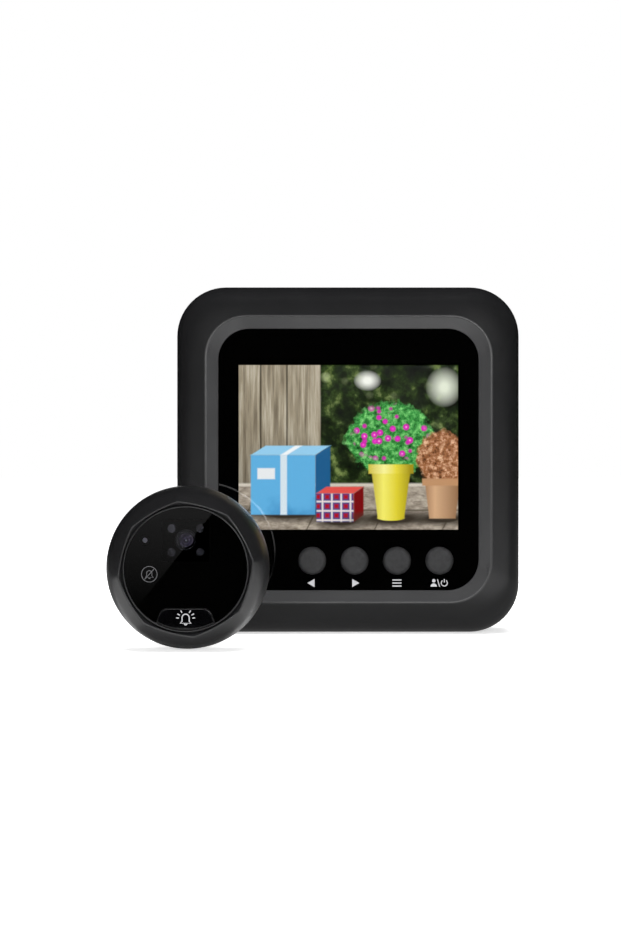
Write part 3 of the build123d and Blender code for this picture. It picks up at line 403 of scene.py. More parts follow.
# %% [markdown]
# Circuit boards are woven glass in epoxy under a green mask. Copper tracks lie under the mask as
# slightly lighter lines, drawn here with a brick pattern whose joints wander.


# %% Circuit board
def circuit_board(spacing=6 * MM):
    """Green solder mask over copper tracks that lie about this far apart."""
    material, tree, shader = start_material("solder_mask_green", IOR=1.5, Roughness=0.28)
    turned = mapped(tree, own_place(tree), Rotation=(math.pi / 2, 0, 0))
    values = {"Scale": 1 / spacing, "Mortar Size": 0.035, "Row Height": 0.4, "Brick Width": 0.9}
    tracks = add(tree, "ShaderNodeTexBrick", values, {"Vector": turned}).outputs["Fac"]
    board = mix_colours(tree, noise_at(tree, 8 * MM), "#0B3A1E", "#114A28")
    tint(tree, shader, tracks, board, "#1E6B3B")
    bump(tree, shader, tracks, 0.02 * MM)
    return material


MATERIALS["circuit_board"] = circuit_board()

# %% [markdown]
# A cell has a printed plastic sleeve: a dark band and a copper-coloured one along X, with no words
# on it.


# %% Battery sleeve
def cell_sleeve(split=8 * MM):
    """A plain two-tone sleeve over a steel can, whose tones meet at this X."""
    material, tree, shader = start_material("cell_sleeve_plain", IOR=1.5, Roughness=0.3)
    along = add(tree, "ShaderNodeSeparateXYZ", links={"Vector": own_place(tree)}).outputs["X"]
    band = reckon(tree, "GREATER_THAN", along, split)
    tint(tree, shader, band, "#25282C", "#A86A3A")
    bump(tree, shader, noise_at(tree, 3 * MM), 0.01 * MM)
    return material


MATERIALS["cell_sleeve"] = cell_sleeve()

# %% [markdown]
# The outdoor lens carries an anti-reflection coating, which is why its glint is purple rather than white.
# Its colour also holds painted light: the bright speck in its middle is a painted glint, the violet ring
# is painted reflection of the coating, and the pale rim is a painted highlight. The lamps are smoky epoxy,
# which only infrared light passes, so they look nearly black. The light guide is milky, so that it takes
# in daylight from all sides, and shows as a pale dot.


# %% Lens and lamps
def lens_with_painted_glint():
    """Dark coated glass over an iris: a black pupil with a painted glint in its middle, a violet ring of
    painted reflection and a pale rim of painted highlight.
    """
    material, tree, shader = start_material("lens_with_painted_glint", IOR=1.6, Roughness=0.12)
    shader.inputs["Specular Tint"].default_value = linear("#C8BCEA")
    flat = counted_from(tree, LENS_MIDDLE.x, LENS_MIDDLE.z, LENS_RADIUS, LENS_RADIUS)
    # Painted light in the colour: the bright speck is a painted glint, the violet ring is painted
    # reflection and the pale rim is a painted highlight.
    stops = (
        (0.0, "#F2F2FA"), (0.09, "#C9C8D4"), (0.15, "#2A2630"), (0.30, "#3A3442"), (0.48, "#6C6376"),
        (0.62, "#565060"), (0.80, "#777080"), (0.93, "#9A94A4"), (1.0, "#2A2730"),
    )
    tree.links.new(ramp_of(tree, distance_of(tree, flat), stops), shader.inputs["Base Color"])
    bump(tree, shader, noise_at(tree, 0.8 * MM), 0.001 * MM)
    return material


MATERIALS["lens_glass"] = lens_with_painted_glint()
MATERIALS["lamp_lens"] = lacquer("smoky_epoxy_lamp", "#2E2E31", "#3C3C40", 0.5, 1.55)
SENSOR = lacquer("milky_light_guide", "#D0D0D3", "#E4E4E8", 0.5, 1.55)

# %% [markdown]
# The screen shows a garden doorstep, as a stand-in for what such a camera would see: a dark hedge,
# a pale fence and bright parcels and pots. It is painted with nodes in the panel's own coordinates,
# from back to front, each layer laid over the last by a soft mask. A screen gives its own light, so
# the picture drives the emission.


# %% Screen picture helpers
# The softness of a clean edge, in units of the picture plane.
CRISP = 0.012


class Picture:
    """Paints layers in a picture plane, 4 wide and 3 high, counted from its lower left corner."""

    def __init__(self, name):
        self.material, self.tree, self.shader = start_material(name, Roughness=0.3, IOR=1.5)
        unit = 4 / SCREEN_WIDTH
        low_x, low_z = SCREEN_X - SCREEN_WIDTH / 2, SCREEN_Z - SCREEN_HEIGHT / 2
        offset = (-low_x * unit, 0, -low_z * unit)
        self.place = mapped(self.tree, own_place(self.tree), Location=offset, Scale=(unit, unit, unit))
        split = add(self.tree, "ShaderNodeSeparateXYZ", links={"Vector": self.place})
        self.across = split.outputs["X"]
        self.up = split.outputs["Z"]
        self.colour = None

    def reckon(self, operation, first, second):
        """A reckoning with two values of the picture."""
        return reckon(self.tree, operation, first, second)

    def noise(self, scale, detail=3.0, rough=0.55, stretch=(1, 1, 1)):
        """Noise in the picture plane."""
        drawn = mapped(self.tree, self.place, Scale=stretch)
        return noise_in(self.tree, drawn, scale, detail, rough)

    def cells(self, scale):
        """How far a point lies from the middle of its cell, in cells strewn over the picture plane."""
        made = add(self.tree, "ShaderNodeTexVoronoi", {"Scale": scale}, {"Vector": self.place})
        return made.outputs["Distance"]

    def edge(self, value, soft):
        """Turns a distance that is negative inside a shape into a mask with a soft edge."""
        return remap(self.tree, value, 1.0, 0.0, -soft, soft)

    def within(self, value, limit, soft):
        """Where a value stays under a limit, as a mask with a soft edge."""
        return self.edge(self.reckon("SUBTRACT", value, limit), soft)

    def sheet(self, soft, *corners):
        """A soft-edged flat shape with straight sides, its corners given in order round it."""
        area = sum(a[0] * b[1] - b[0] * a[1] for a, b in zip(corners, corners[1:] + corners[:1]))
        turn = 1 if area > 0 else -1
        far = None
        for (x, z), (next_x, next_z) in zip(corners, corners[1:] + corners[:1]):
            length = math.hypot(next_x - x, next_z - z) * turn
            right, up = (next_z - z) / length, (x - next_x) / length
            values = {1: up, 2: -right * x - up * z}
            level = add(self.tree, "ShaderNodeMath", values, {0: self.up}, operation="MULTIPLY_ADD")
            side = add(self.tree, "ShaderNodeMath", {1: right}, {0: self.across}, operation="MULTIPLY_ADD")
            self.tree.links.new(level.outputs["Value"], side.inputs[2])
            beyond = side.outputs["Value"]
            far = beyond if far is None else self.reckon("MAXIMUM", far, beyond)
        return self.edge(far, soft)

    def block(self, x, z, right, top, soft=CRISP):
        """An upright rectangle from its lower left to its upper right corner."""
        return self.sheet(soft, (x, z), (right, z), (right, top), (x, top))

    def oval(self, x, z, half_width, half_height, soft=0.05, wobble=0.0, scale=5.0):
        """A soft ellipse, its edge made uneven by noise where something grows."""
        off_x = self.reckon("DIVIDE", self.reckon("SUBTRACT", self.across, x), half_width)
        off_z = self.reckon("DIVIDE", self.reckon("SUBTRACT", self.up, z), half_height)
        squares = self.reckon("MULTIPLY", off_x, off_x), self.reckon("MULTIPLY", off_z, off_z)
        far = self.reckon("SQRT", self.reckon("ADD", *squares), 0)
        if wobble:
            uneven = self.reckon("SUBTRACT", self.noise(scale), 0.5)
            far = self.reckon("ADD", far, self.reckon("MULTIPLY", uneven, wobble))
        return self.within(far, 1.0, soft)

    def ramp(self, source, *stops):
        """Colours along a value of the picture."""
        return ramp_of(self.tree, source, stops)

    def lay(self, mask, colour):
        """Lays a colour over the picture where the mask is, or under it all when there is no mask."""
        self.colour = colour if mask is None else mix_colours(self.tree, mask, self.colour, colour)

    def finish(self, strength):
        """Sends the picture to the screen's own light."""
        self.tree.links.new(self.colour, self.shader.inputs["Emission Color"])
        self.shader.inputs["Emission Strength"].default_value = strength
        self.shader.inputs["Base Color"].default_value = linear("#020202")
        self.shader.inputs["Specular IOR Level"].default_value = 0.05
        return self.material


# %% Paint the garden behind
def garden():
    """Hedge with spots of light, fence and paving, from back to front."""
    art = Picture("lit_screen_doorstep")
    leaves = art.noise(4.2, 6.0, 0.62)
    hedge = (0.36, "#070B06"), (0.60, "#33461F"), (0.50, "#18230F"), (0.72, "#7E9150")
    art.lay(None, art.ramp(leaves, *hedge))
    glow = art.within(art.cells(2.6), 0.20, 0.09)
    high = remap(art.tree, art.up, 0.0, 0.5, 1.7, 2.9)
    art.lay(art.reckon("MULTIPLY", glow, high), art.ramp(leaves, (0.35, "#4E6A2C"), (0.68, "#C9D6A0")))
    art.lay(art.oval(2.35, 2.72, 0.16, 0.12, 0.6), "#FBFDF4")
    art.lay(art.oval(3.75, 2.60, 0.20, 0.22, 0.7), "#E9F0DC")
    grain = art.noise(2.2, 5.0, 0.6, (6, 1, 0.35))
    boards = art.ramp(grain, (0.3, "#6E6353"), (0.7, "#CFC6B2"), (0.5, "#A0957F"))
    joints = art.reckon("PINGPONG", art.reckon("ADD", art.across, 0.08), 0.24)
    boards = mix_colours(art.tree, art.within(joints, 0.012, CRISP), boards, "#30291F")
    shaded = remap(art.tree, art.up, 0.0, 0.45, 2.0, 0.8)
    boards = mix_colours(art.tree, shaded, boards, "#2E281F")
    art.lay(art.block(-0.4, 0.8, 1.36, 3.4, 0.03), boards)
    art.lay(art.block(1.34, 0.8, 1.49, 3.4, 0.015), art.ramp(grain, (0.3, "#84775F"), (0.7, "#D8CFBA")))
    stone = art.noise(7.0, 4.0, 0.6, (1, 1, 2.6))
    paving = art.ramp(stone, (0.3, "#7E7364"), (0.7, "#C6BBA9"), (0.5, "#A3988A"))
    ground = art.block(-0.4, -0.4, 4.4, 0.82, 0.02)
    art.lay(ground, paving)
    slope = art.reckon("ADD", art.across, art.reckon("MULTIPLY", art.up, -0.5))
    seam = art.within(art.reckon("PINGPONG", slope, 0.62), 0.012, CRISP)
    art.lay(art.reckon("MULTIPLY", seam, ground), "#5C5346")
    art.lay(art.block(-0.4, 0.34, 4.4, 0.365), "#5C5346")
    art.lay(art.block(-0.4, 0.79, 4.4, 0.84, 0.02), "#DAD2C4")
    return art


def box_shape(art, x, z, right, top, deep_x, deep_z, front, lid, side):
    """A carton seen from the front, from above and from its right."""
    art.lay(art.oval((x + right) / 2 + 0.1, z + 0.02, (right - x) * 0.68, 0.13, 0.45), "#3A332A")
    art.lay(art.block(x, z, right, top), front)
    far_corners = ((right + deep_x, top + deep_z), (x + deep_x, top + deep_z))
    art.lay(art.sheet(CRISP, (x, top), (right, top), *far_corners), lid)
    side_corners = ((right + deep_x, top + deep_z), (right, top))
    art.lay(art.sheet(CRISP, (right, z), (right + deep_x, z + deep_z), *side_corners), side)


# %% Paint the things on the step
def parcels_and_pots(art):
    """Two parcels, a yellow pot with a flowering shrub and a clay one with heather."""
    cloud = art.noise(2.0, 3.0)
    blue = art.ramp(art.reckon("ADD", art.up, cloud), (0.55, "#2C7CB8"), (1.0, "#64B5E6"))
    box_shape(art, 0.22, 0.27, 1.40, 1.36, 0.27, 0.17, blue, "#9AD3F3", "#1F5E90")
    art.lay(art.block(0.76, 0.27, 0.88, 1.36), "#DCEBF3")
    art.lay(art.sheet(CRISP, (0.76, 1.36), (0.88, 1.36), (1.15, 1.53), (1.03, 1.53)), "#F8FBFD")
    art.lay(art.block(0.34, 0.92, 0.66, 1.12), "#EEF2F4")
    weave = art.reckon("PINGPONG", art.across, 0.085)
    rows = art.reckon("PINGPONG", art.up, 0.085)
    red = art.ramp(weave, (0.3, "#B5161C"), (0.9, "#E0302C"))
    threads = art.reckon("MINIMUM", weave, rows)
    lines = art.within(threads, 0.016, CRISP)
    bands = art.within(threads, 0.045, 0.02)
    tartan = mix_colours(art.tree, bands, red, "#27418C")
    tartan = mix_colours(art.tree, lines, tartan, "#EFE3E0")
    box_shape(art, 1.42, 0.14, 2.10, 0.66, 0.18, 0.12, tartan, "#E8554E", "#7D0C10")
    leaf = art.noise(11.0, 5.0, 0.7)
    green = art.ramp(leaf, (0.34, "#12401A"), (0.66, "#8FE284"), (0.5, "#3E9F46"))
    art.lay(art.oval(2.80, 0.20, 0.66, 0.13, 0.45), "#3A332A")
    art.lay(art.oval(2.78, 1.66, 0.80, 0.66, 0.05, 0.5, 6.0), green)
    petals = art.cells(6.0)
    bloom = art.within(petals, 0.36, 0.06)
    inside = art.oval(2.78, 1.76, 0.68, 0.52, 0.12, 0.6, 5.0)
    pink = art.ramp(petals, (0.0, "#FFE3F6"), (0.4, "#B80D97"), (0.12, "#F23FCF"))
    art.lay(art.reckon("MULTIPLY", bloom, inside), pink)
    shade = remap(art.tree, art.across, 0.0, 1.0, 2.34, 3.22)
    pot = art.ramp(shade, (0.0, "#B39A12"), (1.0, "#8E7A0C"), (0.34, "#FBF36E"), (0.62, "#E6D634"))
    rim = art.ramp(shade, (0.0, "#D2BE30"), (0.9, "#A8951C"), (0.36, "#FFFA9E"), (0.6, "#F0E145"))
    art.lay(art.sheet(CRISP, (2.54, 0.20), (3.02, 0.20), (3.14, 1.10), (2.42, 1.10)), pot)
    art.lay(art.oval(2.78, 0.21, 0.24, 0.05, 0.12), pot)
    art.lay(art.block(2.37, 1.02, 3.19, 1.19), rim)
    heather = art.ramp(leaf, (0.34, "#4A2A1A"), (0.66, "#F0C6A0"), (0.5, "#A66A42"))
    shade = remap(art.tree, art.across, 0.0, 1.0, 3.36, 4.1)
    clay = art.ramp(shade, (0.0, "#9C7350"), (1.0, "#7E5838"), (0.3, "#D9AE86"))
    art.lay(art.oval(3.72, 0.20, 0.5, 0.11, 0.45), "#3A332A")
    art.lay(art.oval(3.72, 1.30, 0.46, 0.50, 0.05, 0.5, 6.0), heather)
    art.lay(art.sheet(CRISP, (3.48, 0.20), (3.96, 0.20), (4.04, 0.86), (3.40, 0.86)), clay)
    art.lay(art.block(3.35, 0.80, 4.09, 0.93), "#C4946A")
    return art


MATERIALS["lit_screen"] = parcels_and_pots(garden()).finish(1.0)
print("screen picture nodes:", len(MATERIALS["lit_screen"].node_tree.nodes))

# %% [markdown]
# Every piece from the frame takes the finish of its slot. The meshes stay as they are.

# %% Give each frame piece its finish
for name, piece in NODES.items():
    piece.data.materials.clear()
    piece.data.materials.append(MATERIALS[SLOTS[name]])
print("finishes:", len(set(SLOTS.values())))

# %% [markdown]
# The frame's meshes are loose triangles, so their round faces would show as facets in a gloss. A
# piece that shows gets a copy whose corners are merged and whose curved faces are shaded smooth,
# and thin edges that catch the light are rounded by a bevel, as moulding and pressing round them on
# the real thing.


# %% Mesh helpers
# Edges that turn by more degrees than this stay sharp in the shading. For flat sheets it is the next.
REAL_EDGE = 32
SHEET_EDGE = 8
# Sharper edges than the first are rounded, and faces that meet flatter than the second are joined.
BEVELLED_EDGE = math.radians(40)
FLAT_ENOUGH = math.radians(0.4)
MERGE_DISTANCE = 0.002 * MM


def placed(name, data):
    """A new object of the scene with this mesh, curve, camera or lamp."""
    made = bpy.data.objects.new(name, data)
    bpy.context.scene.collection.objects.link(made)
    return made


def mesh_from(shape, name):
    """The mesh of a finished shape."""
    mesh = bpy.data.meshes.new(name)
    shape.to_mesh(mesh)
    shape.free()
    return mesh


def merged(name):
    """A copy of a frame piece's shape with its loose corners merged."""
    shape = bmesh.new()
    shape.from_mesh(NODES[name].data)
    bmesh.ops.remove_doubles(shape, verts=shape.verts, dist=MERGE_DISTANCE)
    return shape


def rounded_over(shape, edges, width, segments=4):
    """Rounds these edges over a width in millimetres."""
    bmesh.ops.bevel(
        shape, geom=edges, offset=width * MM, offset_type="OFFSET", affect="EDGES", segments=segments,
        profile=0.5, material=-1, clamp_overlap=True,
    )


# %% Smooth copies with rounded edges
def finish_piece(mesh, name, keep_angle, finishes):
    """Shades a mesh smooth between its real edges and lets it stand for a frame piece."""
    piece = placed(mesh.name, mesh)
    for finish in finishes:
        mesh.materials.append(finish)
    mesh.shade_smooth()
    mesh.set_sharp_from_angle(angle=math.radians(keep_angle))
    even = piece.modifiers.new("even_normals", "WEIGHTED_NORMAL")
    even.keep_sharp = True
    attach(piece, NODES[name]["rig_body"])
    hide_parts(name)


def dressed(name, width=0.0, keep_angle=REAL_EDGE, chosen=None):
    """A smooth copy of a frame piece, its sharp or chosen edges rounded over a width in millimetres."""
    shape = merged(name)
    bmesh.ops.dissolve_degenerate(shape, edges=shape.edges, dist=MERGE_DISTANCE / 2)
    bmesh.ops.dissolve_limit(
        shape, angle_limit=FLAT_ENOUGH, verts=shape.verts, edges=shape.edges,
        use_dissolve_boundaries=False,
    )
    if width:
        inner = [e for e in shape.edges if len(e.link_faces) == 2]
        sharp = [e for e in inner if e.calc_face_angle(0) > BEVELLED_EDGE]
        if chosen:
            sharp = [e for e in sharp if chosen(e)]
        rounded_over(shape, sharp, width, 2)
    finish = SENSOR if name == "light_sensor" else MATERIALS[SLOTS[name]]
    finish_piece(mesh_from(shape, name + "_smooth"), name, keep_angle, [finish])


for name in ("display_window", "face_glass"):
    dressed(name, keep_angle=SHEET_EDGE)
for name in (
    "rear_case", "threaded_barrel", "lock_nut", "speaker", "case_screws",
    "plate_screws", "battery_cells", "camera_lens", "infrared_lamps", "light_sensor", "door_seal",
    "left_button", "right_button", "menu_button", "power_button",
):
    dressed(name)
for name, width in (
    ("battery_cover", 0.2), ("door_bracket", 0.3), ("back_plate", 0.3), ("clamp_washer", 0.2),
    ("camera_holder", 0.2),
):
    dressed(name, width)
key_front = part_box("bell_key")[0].y + 0.02 * MM
dressed("bell_key", 0.14, chosen=lambda e: all(v.co.y < key_front for v in e.verts))
print("smooth copies made")

# %% [markdown]
# The front frame is the piece that the light plays on most, so its outer skin is drawn afresh with
# even faces. It is a stack of rounded rectangles: from the side wall over the swelling band to the
# crest, and from there down the inner slope to the window. Each rectangle starts as one square
# whose corners are bevelled round, and neighbours are bridged. The crest's two edges are then
# bevelled, as the mould's edges are. Bosses, posts and the window's seat behind it are the frame
# piece's own faces, and only its outer faces are taken away.

# %% Sizes of the front frame in millimetres
corner_radius = 13.0
crest_radius = 11.0
window_radius = 8.1
crest_land = 0.5
slope_side = 3.55
slope_level = 3.45
parting_y = -10.0
widest_y = -14.0
crest_y = -23.8
crest_drop = 0.03
window_wall = 0.8
crest_rounding = 0.22
mouth_rounding = 0.15
skin_inset = 0.02
# How far the band has come in, and how far forward, from its widest place to the crest.
band_shares = ((0.0, 0.0), (0.045, 0.3), (0.19, 0.58), (0.5, 0.84), (1.0, 1.0))
outer_half = Vector(((bezel_high.x - bezel_low.x) / 2, (bezel_high.z - bezel_low.z) / 2)) / MM
frame_middle_z = (bezel_low.z + bezel_high.z) / 2 / MM
window_gap = 0.1
window_half = Vector(((window_high.x - window_low.x) / 2, (window_high.z - window_low.z) / 2)) / MM
window_half += Vector((window_gap, window_gap))
crest_half = window_half + Vector((slope_side, slope_level))
print("window opening", [round(2 * v, 2) for v in window_half], "mm")


# %% Stacking rounded rectangles
def rounded_ring(shape, half, radius, y, segments=14):
    """A rounded rectangle at this depth, all in millimetres, made of edges alone. Gives its edges."""
    made = bmesh.ops.create_grid(shape, x_segments=1, y_segments=1, size=1.0)["verts"]
    bmesh.ops.scale(shape, vec=(half.x * MM, half.y * MM, 1), verts=made)
    standing = Matrix.Translation((0, y * MM, frame_middle_z * MM)) @ Matrix.Rotation(math.pi / 2, 4, "X")
    bmesh.ops.transform(shape, matrix=standing, verts=made)
    old = set(shape.verts) - set(made)
    bmesh.ops.bevel(
        shape, geom=made, offset=radius * MM, offset_type="OFFSET", affect="VERTICES", segments=segments,
        profile=0.5, material=-1,
    )
    new = [v for v in shape.verts if v not in old]
    faces = [f for f in shape.faces if all(v not in old for v in f.verts)]
    bmesh.ops.delete(shape, geom=faces, context="FACES_ONLY")
    return [e for e in shape.edges if e.verts[0] in new and e.verts[1] in new]


def smooth_between(points, steps):
    """Points on a smooth line through the given ones, which leaves the ends straight."""
    padded = [points[0], *points, points[-1]]
    smooth = [Vector(points[0])]
    for before, start, end, after in zip(padded, padded[1:], padded[2:], padded[3:]):
        before, start, end, after = Vector(before), Vector(start), Vector(end), Vector(after)
        for step in range(1, steps + 1):
            t = step / steps
            smooth.append(
                start + (end - before) * t / 2 + (before - start * 2.5 + end * 2 - after / 2) * t * t
                + (start * 1.5 - end * 1.5 + after / 2 - before / 2) * t * t * t
            )
    return smooth


# %% Changing a piece's outer skin
# Faces that look further back than this belong to the inside. Rays start a hair off a face, in mm.
BACKWARD = 0.3
RAY_START = 0.01


def reskinned(name, skin, in_front, finishes):
    """Puts a newly drawn skin over a frame piece's inner faces. Its faces open to the outside go."""
    shape = merged(name)
    shape.normal_update()
    tree = BVHTree.FromBMesh(shape)
    outer = []
    for face in shape.faces:
        centre = face.calc_center_median()
        if face.normal.y < BACKWARD and in_front(centre):
            if tree.ray_cast(centre + face.normal * RAY_START * MM, face.normal)[0] is None:
                outer.append(face)
    bmesh.ops.delete(shape, geom=outer, context="FACES")
    bmesh.ops.recalc_face_normals(skin, faces=skin.faces)
    front = max(skin.faces, key=lambda face: abs(face.normal.y))
    if front.normal.y > 0:
        bmesh.ops.reverse_faces(skin, faces=skin.faces)
    print(name, "had", len(outer), "outer faces and got", len(skin.faces))
    outside = mesh_from(skin, name + "_skin")
    shape.from_mesh(outside)
    bpy.data.meshes.remove(outside)
    finish_piece(mesh_from(shape, name + "_smooth"), name, REAL_EDGE, finishes)


def bridged(shape, loops):
    """Joins each loop of edges to the next. Gives the faces between each two."""
    pairs = zip(loops, loops[1:])
    return [bmesh.ops.bridge_loops(shape, edges=one + other)["faces"] for one, other in pairs]


def edges_at(shape, depth):
    """The edges that lie at this depth in metres."""
    return [e for e in shape.edges if all(abs(v.co.y - depth) < 0.001 * MM for v in e.verts)]


# %% Build the front frame
rings = [(outer_half, corner_radius, parting_y)]
for share, rise in smooth_between(band_shares, 4):
    half = outer_half.lerp(crest_half, share)
    radius = corner_radius + (crest_radius - corner_radius) * share
    rings.append((half, radius, widest_y + (crest_y + crest_drop - widest_y) * rise))
land = Vector((crest_land, crest_land))
mouth_half = window_half - Vector((skin_inset, skin_inset))
rings.append((crest_half - land, crest_radius - crest_land, crest_y))
rings.append((mouth_half, window_radius, WINDOW_Y / MM))
rings.append((mouth_half, window_radius, WINDOW_Y / MM + window_wall))
skin = bmesh.new()
loops = [rounded_ring(skin, *ring) for ring in rings]
for face in bridged(skin, loops)[-2]:
    face.material_index = 1
rounded_over(skin, loops[-4] + loops[-3], crest_rounding)
rounded_over(skin, edges_at(skin, WINDOW_Y), mouth_rounding, 3)


def beside_window(centre):
    """Whether a point lies outside the window's opening, or in front of the window."""
    off_z = abs(centre.z / MM - frame_middle_z)
    return abs(centre.x / MM) > window_half.x or off_z > window_half.y or centre.y < WINDOW_Y


reskinned("front_bezel", skin, beside_window, [MATERIALS["black_casing"], SLOPE])

# %% [markdown]
# The outdoor camera's shell is turned on a lathe in the mould maker's model and then drawn into a
# rim with eight corners. Its skin is a stack of circles whose points are pulled in between the
# corners, more and more towards the rim. Inside the rim lie a groove and the thin round ring that
# holds the glass.

# %% Sizes of the outdoor shell in millimetres
# Each ring is given by its reach at the corners, its reach between them and its height over the door.
rim_corners = 8
rim_turn = math.radians(7)
shell_steps = 160
shell_back = ((19.3, 19.3, 1.2), (19.69, 19.69, 3.4))
shell_front = ((19.5, 19.5, 5.6), (18.52, 18.28, 9.67), (16.3, 15.6, 12.97))
shell_rim = (
    (15.95, 15.25, 12.99), (15.2, 15.2, 12.0), (14.9, 14.9, 12.5), (14.59, 14.59, 12.52),
    (14.59, 14.59, 11.8),
)
ridge_rounding = 0.16
glass_ring_rounding = 0.13
seat_y = shell_high.y / MM + shell_back[0][2]


# %% Stacking eight-cornered circles
def rim_ring(shape, corner, side, depth):
    """A circle at this depth whose points lie on arcs from corner to corner, made of edges alone."""
    made = bmesh.ops.create_circle(shape, segments=shell_steps, radius=1)["verts"]
    step = 2 * math.pi / rim_corners
    shift = (corner ** 2 - side ** 2) / (2 * (corner * math.cos(step / 2) - side))
    for vert in made:
        angle = math.atan2(vert.co.y, vert.co.x)
        off = (angle - rim_turn) % step - step / 2
        reach = shift * math.cos(off) + math.sqrt((side - shift) ** 2 - (shift * math.sin(off)) ** 2)
        x = BELL_X + reach * MM * math.cos(angle)
        vert.co = (x, (seat_y - depth) * MM, BELL_Z + reach * MM * math.sin(angle))
    return list({edge for vert in made for edge in vert.link_edges})


# %% Build the outdoor shell
skin = bmesh.new()
rim_rings = [*shell_back, *smooth_between(shell_front, 5), *shell_rim]
loops = [rim_ring(skin, *ring) for ring in rim_rings]
bridged(skin, loops)
rounded_over(skin, loops[-6] + loops[-5], ridge_rounding, 3)
rounded_over(skin, loops[-3] + loops[-2], glass_ring_rounding, 3)


def beside_glass(centre):
    """Whether a point lies outside the glass."""
    return math.hypot(centre.x - BELL_X, centre.z - BELL_Z) > shell_rim[-1][0] * MM


reskinned("bell_shell", skin, beside_glass, [MATERIALS["black_casing"]])

# %% [markdown]
# The marks are pad-printed: a thin even layer of pale ink. Line symbols are drawn as round strokes
# along a few points and then pressed flat, which gives ink its soft rounded ends. Solid ones start
# from a circle.

# %% Printing helpers
INK = 0.02 * MM
INK_WIDTH = 0.34 * MM
NARROW_INK_WIDTH = 0.26 * MM
FAINT_INK_WIDTH = 0.2 * MM


def strokes(lines, width):
    """Round strokes along lists of points (x, z) in millimetres, closed where the first comes again."""
    curve = bpy.data.curves.new("stroke_lines", "CURVE")
    curve.dimensions = "3D"
    curve.bevel_depth = width / 2
    curve.bevel_resolution = 2
    curve.use_fill_caps = True
    for points in lines:
        closed = points[0] == points[-1]
        used = points[:-1] if closed else points
        line = curve.splines.new("POLY")
        line.points.add(len(used) - 1)
        line.use_cyclic_u = closed
        for point, (x, z) in zip(line.points, used):
            point.co = (x * MM, 0, z * MM, 1)
    return placed("stroke_lines", curve)


def arc(x, z, radius, start, end, steps=14):
    """Points along an arc in degrees, counted from +X towards +Z."""
    angles = [math.radians(start + (end - start) * step / steps) for step in range(steps + 1)]
    return [(x + radius * math.cos(a), z + radius * math.sin(a)) for a in angles]


def printed(name, lines, x, face, z, body, material, width=INK_WIDTH):
    """Prints line symbols on a face of a body, centred at x and z."""
    drawn = strokes(lines, width)
    graph = bpy.context.evaluated_depsgraph_get()
    mesh = bpy.data.meshes.new_from_object(drawn.evaluated_get(graph))
    bpy.data.objects.remove(drawn)
    flat = Matrix.Diagonal((1, 2 * INK / width, 1, 1))
    mesh.transform(Matrix.Translation((x, face, z)) @ flat)
    mesh.materials.clear()
    mesh.materials.append(material)
    piece = placed(name, mesh)
    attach(piece, body)


def bell_outline(size):
    """A bell seen from the front, as one closed line and the clapper under it."""
    dome = arc(0, 0.35 * size, 1.0 * size, 180, 0)
    skirt = [(1.0, -0.65), (1.5, -1.2), (-1.5, -1.2), (-1.0, -0.65)]
    skirt = [(x * size, z * size) for x, z in skirt]
    clapper = arc(0, -1.3 * size, 0.35 * size, 190, 350, 8)
    return [dome + skirt + [dome[0]], clapper]


# %% Bell marks on the outdoor camera
rays = []
for turn in (4, 30, 58):
    for angle in (turn, 180 - turn):
        rays.append([arc(0, 0.1, reach, angle, angle, 1)[0] for reach in (1.6, 2.25)])
key_mark_z = BELL_Z - 11.8 * MM
printed(
    "bell_key_mark", bell_outline(0.85) + rays, BELL_X, GLASS_Y, key_mark_z,
    "bell_key", MARK_INK, NARROW_INK_WIDTH,
)
mute_x = BELL_X - 8.6 * MM
mute_z = BELL_Z - 1.2 * MM
mute_lines = bell_outline(0.62) + [arc(0, 0, 1.85, 0, 360, 40), [(-1.1, -1.2), (1.1, 1.2)]]
printed(
    "muted_bell_mark", mute_lines, mute_x, GLASS_Y, mute_z,
    "outdoor_camera", FAINT_INK, FAINT_INK_WIDTH,
)

# %% Key marks on the monitor
keys = [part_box(name) for name in ("left_button", "right_button", "menu_button", "power_button")]
key_x = [(low.x + high.x) / 2 for low, high in keys]
marks_drop = 5.85 * MM
marks_z = (keys[0][0].z + keys[0][1].z) / 2 - marks_drop


def solid_mark(name, shape_of, x, z, turn=0.0, cut=False):
    """A solid symbol from a circle of so many points and this radius, or from its upper half."""
    steps, radius = shape_of
    shape = bmesh.new()
    bmesh.ops.create_circle(shape, cap_ends=True, segments=steps, radius=radius * MM)
    spin = Matrix.Rotation(turn, 4, "Y") @ Matrix.Rotation(math.pi / 2, 4, "X")
    bmesh.ops.transform(shape, matrix=spin, verts=shape.verts)
    if cut:
        bmesh.ops.bisect_plane(
            shape, geom=shape.verts[:] + shape.edges[:] + shape.faces[:], plane_co=(0, 0, 0),
            plane_no=(0, 0, 1), clear_inner=True,
        )
    extruded = bmesh.ops.extrude_face_region(shape, geom=shape.faces[:])
    moved = [v for v in extruded["geom"] if isinstance(v, bmesh.types.BMVert)]
    bmesh.ops.translate(shape, vec=(0, -INK, 0), verts=moved)
    bmesh.ops.recalc_face_normals(shape, faces=shape.faces)
    mesh = mesh_from(shape, name)
    mesh.transform(Matrix.Translation((x, WINDOW_Y, z)))
    mesh.materials.append(MARK_INK)
    piece = placed(name, mesh)
    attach(piece, "monitor")


